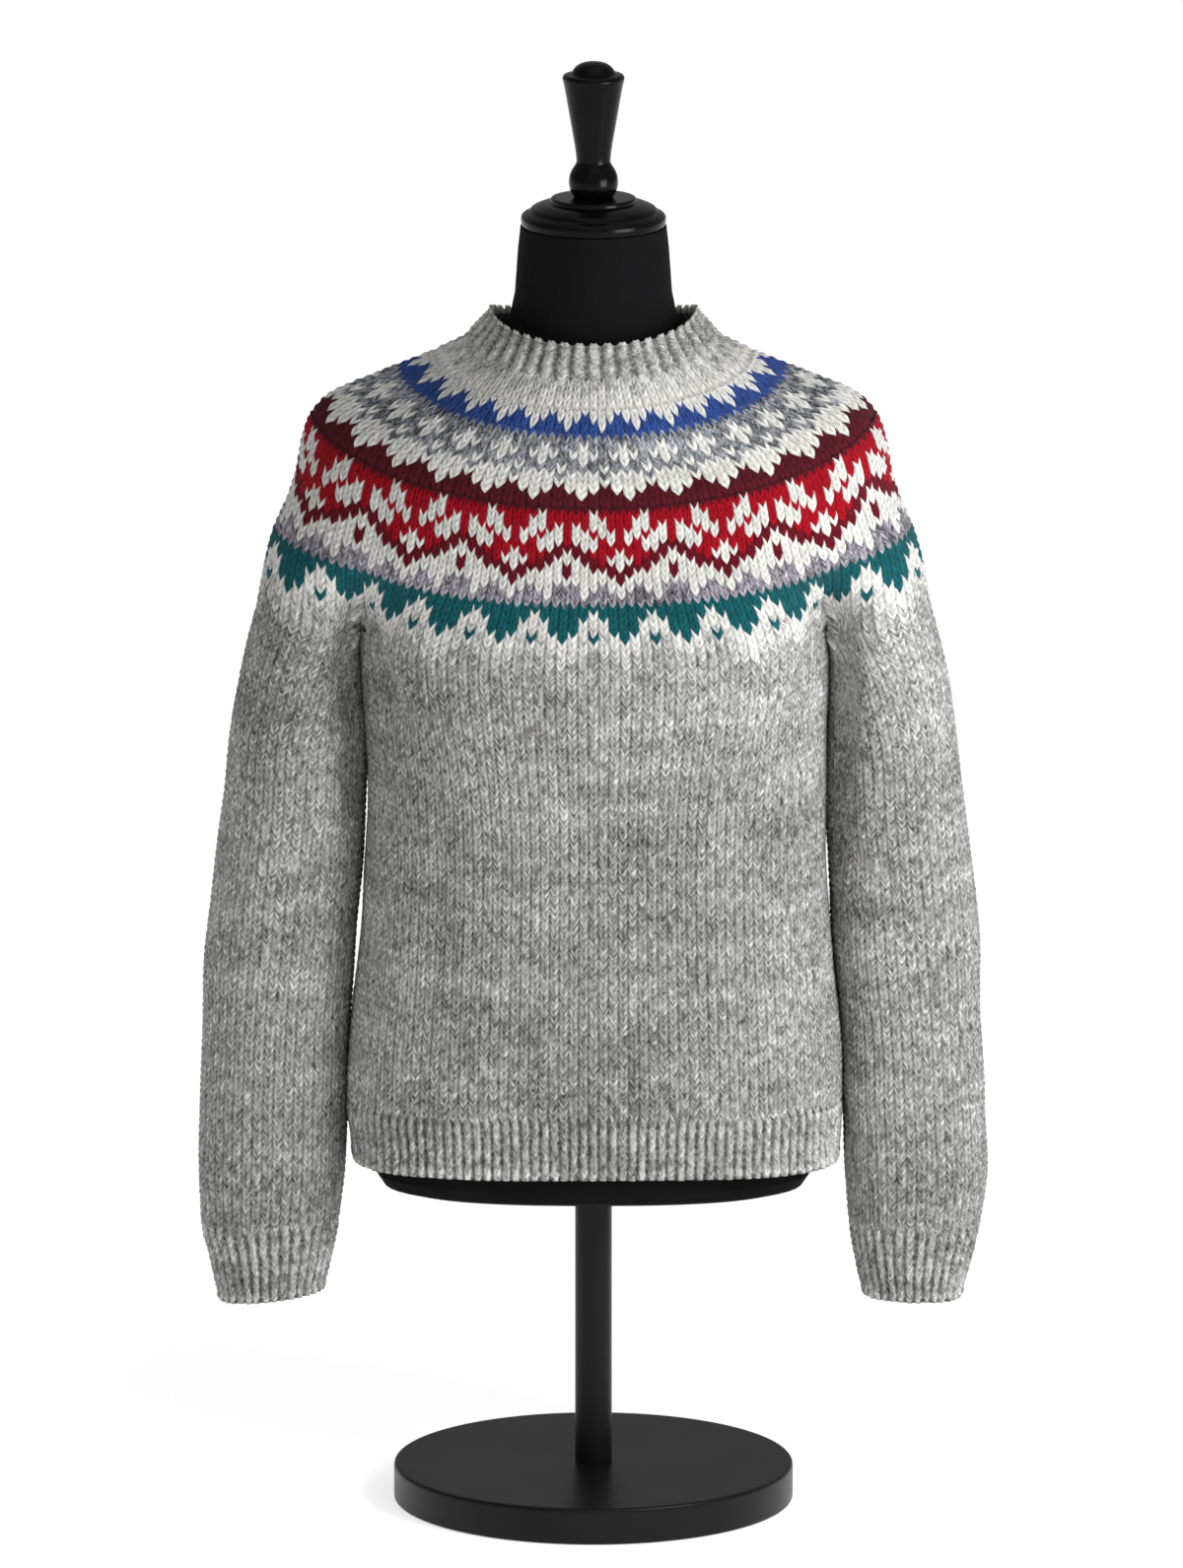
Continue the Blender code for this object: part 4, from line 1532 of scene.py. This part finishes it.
BALL = tuple((20.0 * float(np.cos(a)), 1094.0 + 20.0 * float(np.sin(a)))
             for a in np.radians(np.linspace(36, -38, 13)))
TURNINGS = (
    Turning("turned_neck_cap", "neck_cap", (
        (28.0, 1081.5), (33.6, 1081.3), (34.6, 1080.0), (34.4, 1077.4), (38.6, 1076.9),
        (43.6, 1075.6), (49.4, 1073.2), (51.0, 1071.6), (51.8, 1069.8), (54.2, 1069.0),
        (57.2, 1067.4), (58.5, 1065.6), (58.8, 1063.4), (58.6, 1061.0), (57.6, 1058.0)),
        112, "black_wood"),
    Turning("turned_handle", "finial", (
        (5.0, 1192.1), (10.0, 1191.0), (14.4, 1188.4), (17.2, 1184.6), (17.8, 1182.9),
        (19.4, 1182.6), (23.8, 1181.8), (25.2, 1179.6), (25.1, 1178.0), (23.4, 1171.0),
        (18.4, 1142.0), (14.9, 1122.0), (13.8, 1112.6), (13.9, 1109.6), (15.2, 1107.2))
        + BALL + ((13.0, 1081.9), (12.5, 1081.8)), 88, "black_wood"),
    Turning("stand_pole", "pole", ((15.0, 261.2), (15.0, 30.3)), 72, "black_metal", 0),
    Turning("round_base", "base", (
        (150.0, 30.0), (160.4, 30.0), (161.9, 29.4), (162.7, 28.2), (163.0, 26.4),
        (163.0, 1.8), (162.4, 0.6), (161.0, 0.0), (150.0, 0.0)), 160, "black_metal"),
)


# ---------------------------------------------------------------- finishes

@dataclass
class Nodes:
    """Short ways to add shader nodes to one tree."""

    tree: bpy.types.NodeTree

    def add(self, kind: str, **settings: object) -> bpy.types.Node:
        """Adds a node with its properties and its unlinked inputs.

        Args:
            kind: the node's type.
            settings: properties by name, or inputs by name with _ for a space.

        Returns:
            The node.
        """
        node = self.tree.nodes.new(kind)
        for key, value in settings.items():
            if hasattr(node, key):
                setattr(node, key, value)
            else:
                node.inputs[key.replace("_", " ")].default_value = value
        return node

    def link(self, source: bpy.types.NodeSocket, target: bpy.types.NodeSocket) -> None:
        """Joins an output to an input."""
        self.tree.links.new(source, target)

    def maths(self, operation: str, first: object, second: object = 0.0,
              clamp: bool = False) -> bpy.types.NodeSocket:
        """Adds a Math node on two sockets or numbers.

        Args:
            operation: the Math node's operation.
            first: socket or number.
            second: socket or number.
            clamp: whether the result stays within 0 and 1.

        Returns:
            The result.
        """
        node = self.tree.nodes.new("ShaderNodeMath")
        node.operation, node.use_clamp = operation, clamp
        for socket, value in zip(node.inputs, (first, second)):
            if isinstance(value, bpy.types.NodeSocket):
                self.link(value, socket)
            else:
                socket.default_value = float(value)
        return node.outputs[0]

    def centred(self, value: bpy.types.NodeSocket, gain: float) -> bpy.types.NodeSocket:
        """Centres noise on nought and scales it."""
        return self.maths("MULTIPLY", self.maths("SUBTRACT", value, 0.5), gain)


def new_material(name: str) -> tuple[bpy.types.Material, Nodes, bpy.types.Node]:
    """Starts a material.

    Args:
        name: the material's name.

    Returns:
        The material, its node maker and its main shader.
    """
    material = bpy.data.materials.new(name)
    material.use_nodes = True
    return material, Nodes(material.node_tree), material.node_tree.nodes["Principled BSDF"]


def new_group(name: str, inputs: dict[str, tuple[str, object]],
              outputs: dict[str, str]) -> tuple[bpy.types.NodeTree, Nodes, dict, dict]:
    """Starts a shader node group.

    Args:
        name: the group's name.
        inputs: type and default of each input.
        outputs: type of each output.

    Returns:
        The group, its node maker, its input sockets and its output sockets.
    """
    group = bpy.data.node_groups.new(name, "ShaderNodeTree")
    for label, (kind, value) in inputs.items():
        socket = group.interface.new_socket(name=label, in_out="INPUT", socket_type=kind)
        if value is not None:
            socket.default_value = value
    for label, kind in outputs.items():
        group.interface.new_socket(name=label, in_out="OUTPUT", socket_type=kind)
    make = Nodes(group)
    enter, leave = make.add("NodeGroupInput"), make.add("NodeGroupOutput")
    return group, make, dict(enter.outputs.items()), dict(leave.inputs.items())


def wool_group() -> bpy.types.NodeTree:
    """Makes the heather wool effect: flecks, blotches, shade in the hollows and fibres.

    Flecks are noise stretched along the stitches' legs; light and dark ones come from its
    two ends. The hollows get painted shade: their colour is darker where the stitches'
    relief is low. The height is fine noise drawn out along the legs.

    Returns:
        The group.
    """
    group, make, given, gives = new_group(
        "heather wool",
        {"Dye": ("NodeSocketColor", (0.5, 0.5, 0.5, 1)), "Flecks": ("NodeSocketFloat", 1.0),
         "Relief": ("NodeSocketFloat", 1.0), "Stitches": ("NodeSocketVector", None),
         "Place": ("NodeSocketVector", None), "Painted hollow shade": ("NodeSocketFloat", 0.5)},
        {"Colour": "NodeSocketColor", "Height": "NodeSocketFloat"})

    def noise(source: str, scale: tuple[float, float, float], detail: float,
              rough: float) -> bpy.types.NodeSocket:
        """Adds noise on scaled coordinates."""
        stretch = make.add("ShaderNodeMapping", vector_type="POINT")
        stretch.inputs["Scale"].default_value = scale
        make.link(given[source], stretch.inputs["Vector"])
        node = make.add("ShaderNodeTexNoise", Scale=1.0, Detail=detail, Roughness=rough)
        make.link(stretch.outputs[0], node.inputs["Vector"])
        return node.outputs["Fac"]

    legs = noise("Stitches", (1.5, 2.3, 1.0), 3.0, 0.65)
    fine = noise("Stitches", (4.5, 9.0, 1.0), 2.0, 0.6)
    specks = noise("Place", (210.0, 210.0, 120.0), 2.0, 0.6)
    blotch = noise("Place", (16.0, 16.0, 30.0), 3.0, 0.55)
    cloud = noise("Place", (5.5, 5.5, 7.5), 1.0, 0.5)

    mottle = make.maths("ADD", make.centred(legs, 3.3), make.centred(specks, 2.2))
    mottle = make.maths("ADD", mottle, make.centred(fine, 2.0))
    patches = make.maths("ADD", make.centred(blotch, 0.9), make.centred(cloud, 0.7))
    total = make.maths("MULTIPLY", make.maths("ADD", mottle, patches), given["Flecks"])
    bright = make.maths("MULTIPLY", make.maths("MAXIMUM", total, 0.0), 1.15)
    dark = make.maths("MULTIPLY", make.maths("MINIMUM", total, 0.0), 0.92)
    shade = make.maths("ADD", make.maths("ADD", bright, dark), 1.0)
    shade = make.maths("MAXIMUM", shade, 0.22)
    # painted shade: the colour darkens in the hollows, where the stitches' relief is low
    painted_hollow_shade = make.maths("POWER", make.maths("SUBTRACT", 1.0, given["Relief"]), 1.6)
    painted_hollow_shade = make.maths("MULTIPLY", painted_hollow_shade, given["Painted hollow shade"])
    shade = make.maths("MULTIPLY", shade, make.maths("SUBTRACT", 1.0, painted_hollow_shade, clamp=True))
    mixed = make.add("ShaderNodeVectorMath", operation="SCALE")
    make.link(given["Dye"], mixed.inputs[0])
    make.link(shade, mixed.inputs["Scale"])
    capped = make.add("ShaderNodeVectorMath", operation="MINIMUM")
    make.link(mixed.outputs[0], capped.inputs[0])
    capped.inputs[1].default_value = (0.86, 0.86, 0.85)
    make.link(capped.outputs[0], gives["Colour"])
    strands = noise("Stitches", (3.0, 26.0, 1.0), 3.0, 0.7)
    make.link(make.maths("ADD", make.maths("MULTIPLY", strands, 0.6),
                         make.maths("MULTIPLY", specks, 0.7)), gives["Height"])
    return group


def grain_group() -> bpy.types.NodeTree:
    """Makes a fine unevenness for black paint and powder coat.

    Returns:
        The group: a tint, a roughness and a height from noise at two sizes.
    """
    group, make, given, gives = new_group(
        "fine grain",
        {"Place": ("NodeSocketVector", None), "Scale": ("NodeSocketFloat", 900.0),
         "Base": ("NodeSocketColor", (0.01, 0.01, 0.01, 1)),
         "Rough": ("NodeSocketFloat", 0.4), "Spread": ("NodeSocketFloat", 0.12),
         "Along": ("NodeSocketFloat", 1.0)},
        {"Colour": "NodeSocketColor", "Roughness": "NodeSocketFloat",
         "Height": "NodeSocketFloat"})
    stretch = make.add("ShaderNodeVectorMath", operation="MULTIPLY")
    axes = make.add("ShaderNodeCombineXYZ", X=1.0, Y=1.0)
    make.link(given["Along"], axes.inputs["Z"])
    make.link(given["Place"], stretch.inputs[0])
    make.link(axes.outputs[0], stretch.inputs[1])
    fine = make.add("ShaderNodeTexNoise", Detail=3.0, Roughness=0.6)
    make.link(stretch.outputs[0], fine.inputs["Vector"])
    make.link(given["Scale"], fine.inputs["Scale"])
    wide = make.add("ShaderNodeTexNoise", Scale=14.0, Detail=3.0, Roughness=0.6)
    make.link(given["Place"], wide.inputs["Vector"])
    shift = make.maths("ADD", make.centred(wide.outputs["Fac"], 1.0),
                       make.centred(fine.outputs["Fac"], 0.5))
    rough = make.maths("ADD", given["Rough"], make.maths("MULTIPLY", shift, given["Spread"]))
    make.link(rough, gives["Roughness"])
    tint = make.add("ShaderNodeVectorMath", operation="SCALE")
    make.link(given["Base"], tint.inputs[0])
    make.link(make.maths("ADD", 1.0, make.maths("MULTIPLY", shift, 1.2)),
              tint.inputs["Scale"])
    make.link(tint.outputs[0], gives["Colour"])
    make.link(fine.outputs["Fac"], gives["Height"])
    return group


@dataclass(frozen=True)
class WoolFinish:
    """Hairy wool in the colours of the mesh's dyes.

    Attributes:
        name: the material's name.
        painted_hollow_shade: how strongly painted shade darkens the colour in the hollows between
            stitches.
        sheen: strength of the light caught by the fibres.
    """

    name: str
    painted_hollow_shade: float = 0.42
    sheen: float = 0.04

    def material(self, group: bpy.types.NodeTree) -> bpy.types.Material:
        """Builds the material.

        Args:
            group: the heather wool effect.

        Returns:
            The material.
        """
        material, make, shader = new_material(self.name)
        dye = make.add("ShaderNodeAttribute", attribute_name="dye")
        relief = make.add("ShaderNodeAttribute", attribute_name="relief")
        stitches = make.add("ShaderNodeUVMap", uv_map="stitches")
        place = make.add("ShaderNodeTexCoord")
        wool = make.add("ShaderNodeGroup", node_tree=group)
        wool.inputs["Painted hollow shade"].default_value = self.painted_hollow_shade
        make.link(dye.outputs["Color"], wool.inputs["Dye"])
        make.link(dye.outputs["Alpha"], wool.inputs["Flecks"])
        make.link(relief.outputs["Fac"], wool.inputs["Relief"])
        make.link(stitches.outputs["UV"], wool.inputs["Stitches"])
        make.link(place.outputs["Object"], wool.inputs["Place"])
        bump = make.add("ShaderNodeBump", Strength=0.55, Distance=0.0012)
        make.link(wool.outputs["Height"], bump.inputs["Height"])
        make.link(bump.outputs["Normal"], shader.inputs["Normal"])
        make.link(wool.outputs["Colour"], shader.inputs["Base Color"])
        shader.inputs["Roughness"].default_value = 0.95
        shader.inputs["Specular IOR Level"].default_value = 0.15
        shader.inputs["Sheen Weight"].default_value = self.sheen
        shader.inputs["Sheen Roughness"].default_value = 0.6
        return material


@dataclass(frozen=True)
class BlackFinish:
    """A black finish with a fine grain, for jersey, painted wood and coated metal.

    Attributes:
        name: the material's name.
        colour: linear base colour.
        rough: mean roughness.
        spread: how much the roughness varies.
        grain: noise scale per metre.
        along: stretch of the grain along Z.
        bump: depth of the grain in metres.
        metallic: metallic value.
        specular: specular level.
        sheen: sheen weight.
    """

    name: str
    colour: tuple[float, float, float]
    rough: float
    spread: float
    grain: float
    along: float
    bump: float
    metallic: float = 0.0
    specular: float = 0.5
    sheen: float = 0.0

    def material(self, group: bpy.types.NodeTree) -> bpy.types.Material:
        """Builds the material.

        Args:
            group: the fine grain effect.

        Returns:
            The material.
        """
        material, make, shader = new_material(self.name)
        place = make.add("ShaderNodeTexCoord")
        grain = make.add("ShaderNodeGroup", node_tree=group)
        for label, value in (("Scale", self.grain), ("Base", (*self.colour, 1.0)),
                             ("Rough", self.rough), ("Spread", self.spread),
                             ("Along", self.along)):
            grain.inputs[label].default_value = value
        make.link(place.outputs["Object"], grain.inputs["Place"])
        bump = make.add("ShaderNodeBump", Strength=0.35, Distance=self.bump)
        make.link(grain.outputs["Height"], bump.inputs["Height"])
        make.link(bump.outputs["Normal"], shader.inputs["Normal"])
        make.link(grain.outputs["Colour"], shader.inputs["Base Color"])
        make.link(grain.outputs["Roughness"], shader.inputs["Roughness"])
        shader.inputs["Metallic"].default_value = self.metallic
        shader.inputs["Specular IOR Level"].default_value = self.specular
        shader.inputs["Sheen Weight"].default_value = self.sheen
        return material


class Finish(Enum):
    """The finishes that the pieces wear."""

    YOKE_WOOL = WoolFinish("yoke wool", painted_hollow_shade=0.62)
    GREY_WOOL = WoolFinish("grey heather wool", painted_hollow_shade=0.66)
    RIBBED_WOOL = WoolFinish("ribbed heather wool", painted_hollow_shade=0.80)
    JERSEY = BlackFinish("black jersey", (0.0038, 0.0038, 0.0044), 0.90, 0.05, 1400.0, 0.35,
                         0.0005, specular=0.12)
    WOOD = BlackFinish("black turned wood", (0.0025, 0.0025, 0.0025), 0.20, 0.08, 500.0, 0.12,
                       0.0001, specular=0.11)
    METAL = BlackFinish("black powder coat", (0.006, 0.006, 0.006), 0.36, 0.08, 2200.0, 1.0,
                        0.0001, specular=0.16)


@dataclass
class Wardrobe:
    """Builds each finish once and dresses pieces in it."""

    made: dict[Finish, bpy.types.Material] = field(default_factory=dict)

    def __post_init__(self) -> None:
        """Builds the two shared effects and the materials that use them."""
        wool, grain = wool_group(), grain_group()
        for finish in Finish:
            effect = wool if isinstance(finish.value, WoolFinish) else grain
            self.made[finish] = finish.value.material(effect)

    def dress(self, piece: bpy.types.Object, finish: Finish) -> None:
        """Gives a new piece its finish, or a kept solid in each of its slots.

        Args:
            piece: the piece.
            finish: the finish.
        """
        if not piece.material_slots:
            piece.data.materials.append(self.made[finish])
        for slot in piece.material_slots:
            slot.material = self.made[finish]


# ---------------------------------------------------------------- the studio

@dataclass
class Studio:
    """A plain pale floor, soft light and the camera.

    Attributes:
        elevation: the camera's height above the horizon, in degrees.
        distance: from the aim to the camera.
        aim: X and Z that the camera looks at.
        tall: height of the view at the aim, in metres.
    """

    elevation: float = 12.5
    distance: float = 18.0
    aim: tuple[float, float] = (-0.0016, 0.596)
    tall: float = 1.273

    def floor(self) -> None:
        """Lays a large pale disc a hair below the base."""
        sides, radius, below = 96, 14, 0.0005
        angle = np.linspace(0, 2 * np.pi, sides, endpoint=False)
        rim = np.stack([radius * np.cos(angle), radius * np.sin(angle),
                        np.full(sides, -below)], axis=1)
        mesh = bpy.data.meshes.new("floor")
        mesh.from_pydata(rim.tolist(), [], [list(range(sides))])
        floor = add_object("floor", mesh)
        material, _, shader = new_material("pale floor")
        shader.inputs["Base Color"].default_value = (0.93, 0.93, 0.93, 1)
        shader.inputs["Roughness"].default_value = 0.9
        shader.inputs["Specular IOR Level"].default_value = 0.1
        shader.inputs["Emission Color"].default_value = (1.0, 1.0, 1.0, 1.0)
        shader.inputs["Emission Strength"].default_value = 0.62
        mesh.materials.append(material)

    def lights(self) -> None:
        """Sets a soft box near on the right, a weak fill and a top light in a pale room.

        The room is whiter to the camera than to the pieces, so the backdrop stays white
        while the shadows keep their depth.
        """
        box = bpy.data.lights.new("key", "AREA")
        box.shape, box.size, box.energy = "SQUARE", 0.6, 12.0
        lamp = add_object("key", box)
        lamp.location = (0.88, -0.78, 1.02)
        lamp.rotation_euler = np.radians((70.0, 0.0, 48.0))
        for name, power, turn, wide in (
            ("fill", 0.22, (62, 0, 14), 70), ("top", 0.35, (8, 6, 0), 60),
        ):
            data = bpy.data.lights.new(name, "SUN")
            data.energy, data.angle = power, np.radians(wide)
            lamp = add_object(name, data)
            lamp.rotation_euler = np.radians(turn)
        world = bpy.data.worlds.new("studio")
        world.use_nodes = True
        make = Nodes(world.node_tree)
        room = world.node_tree.nodes["Background"]
        room.inputs["Color"].default_value = (1.0, 1.0, 1.0, 1.0)
        ray = make.add("ShaderNodeLightPath")
        glow, to_camera = 0.30, 0.8
        seen = make.maths("MULTIPLY", ray.outputs["Is Camera Ray"], to_camera)
        make.link(make.maths("ADD", seen, glow), room.inputs["Strength"])
        bpy.context.scene.world = world
        bpy.context.scene.view_settings.view_transform = "Standard"

    def camera(self) -> None:
        """Puts the camera in front, far away behind a long lens."""
        film = 36.0
        data = bpy.data.cameras.new("camera")
        data.sensor_fit, data.sensor_height = "VERTICAL", film
        data.lens = film * self.distance / self.tall
        tilt = np.radians(self.elevation)
        camera = add_object("camera", data)
        camera.location = (self.aim[0], -self.distance * np.cos(tilt),
                           self.aim[1] + self.distance * np.sin(tilt))
        camera.rotation_euler = (np.pi / 2 - tilt, 0.0, 0.0)
        bpy.context.scene.camera = camera


def main() -> None:
    """Builds the studio, the sweater and the stand, and reports each piece."""
    logging.basicConfig(level=logging.INFO, format="%(message)s")
    studio = Studio()
    studio.camera()
    studio.lights()
    studio.floor()
    wardrobe = Wardrobe()
    outline = Outline()
    yoke = Yoke(outline)
    knitted = [(yoke.build(), Finish.YOKE_WOOL)]
    ring = yoke.last_ring
    knitted.append((Body(outline).build(ring), Finish.GREY_WOOL))
    edges = Edges()
    for side, rows, cuff, left, seed in (
        ("left", SLEEVE_LEFT, CUFF_LEFT, True, 41), ("right", SLEEVE_RIGHT, CUFF_RIGHT, False, 51),
    ):
        sleeve = Sleeve(outline, f"sleeve_{side}_knit", f"sleeve_{side}", rows, left, seed)
        knitted.append((sleeve.build(ring), Finish.GREY_WOOL))
        knitted.append((edges.cuff(f"cuff_{side}_ribbing", f"cuff_{side}", cuff,
                                   sleeve.name, left, seed + 1), Finish.RIBBED_WOOL))
    knitted.append((edges.hem(), Finish.RIBBED_WOOL))
    knitted.append((edges.neckband(), Finish.RIBBED_WOOL))
    for turning in TURNINGS:
        finish = Finish.WOOD if turning.slot == "black_wood" else Finish.METAL
        knitted.append((turning.build(), finish))
    knitted.append((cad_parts["form_torso"], Finish.JERSEY))
    for piece, finish in knitted:
        wardrobe.dress(piece, finish)
        LOG.info("%s: %d faces, %s", piece.name, len(piece.data.polygons), finish.name)


if __name__ == "__main__":
    main()
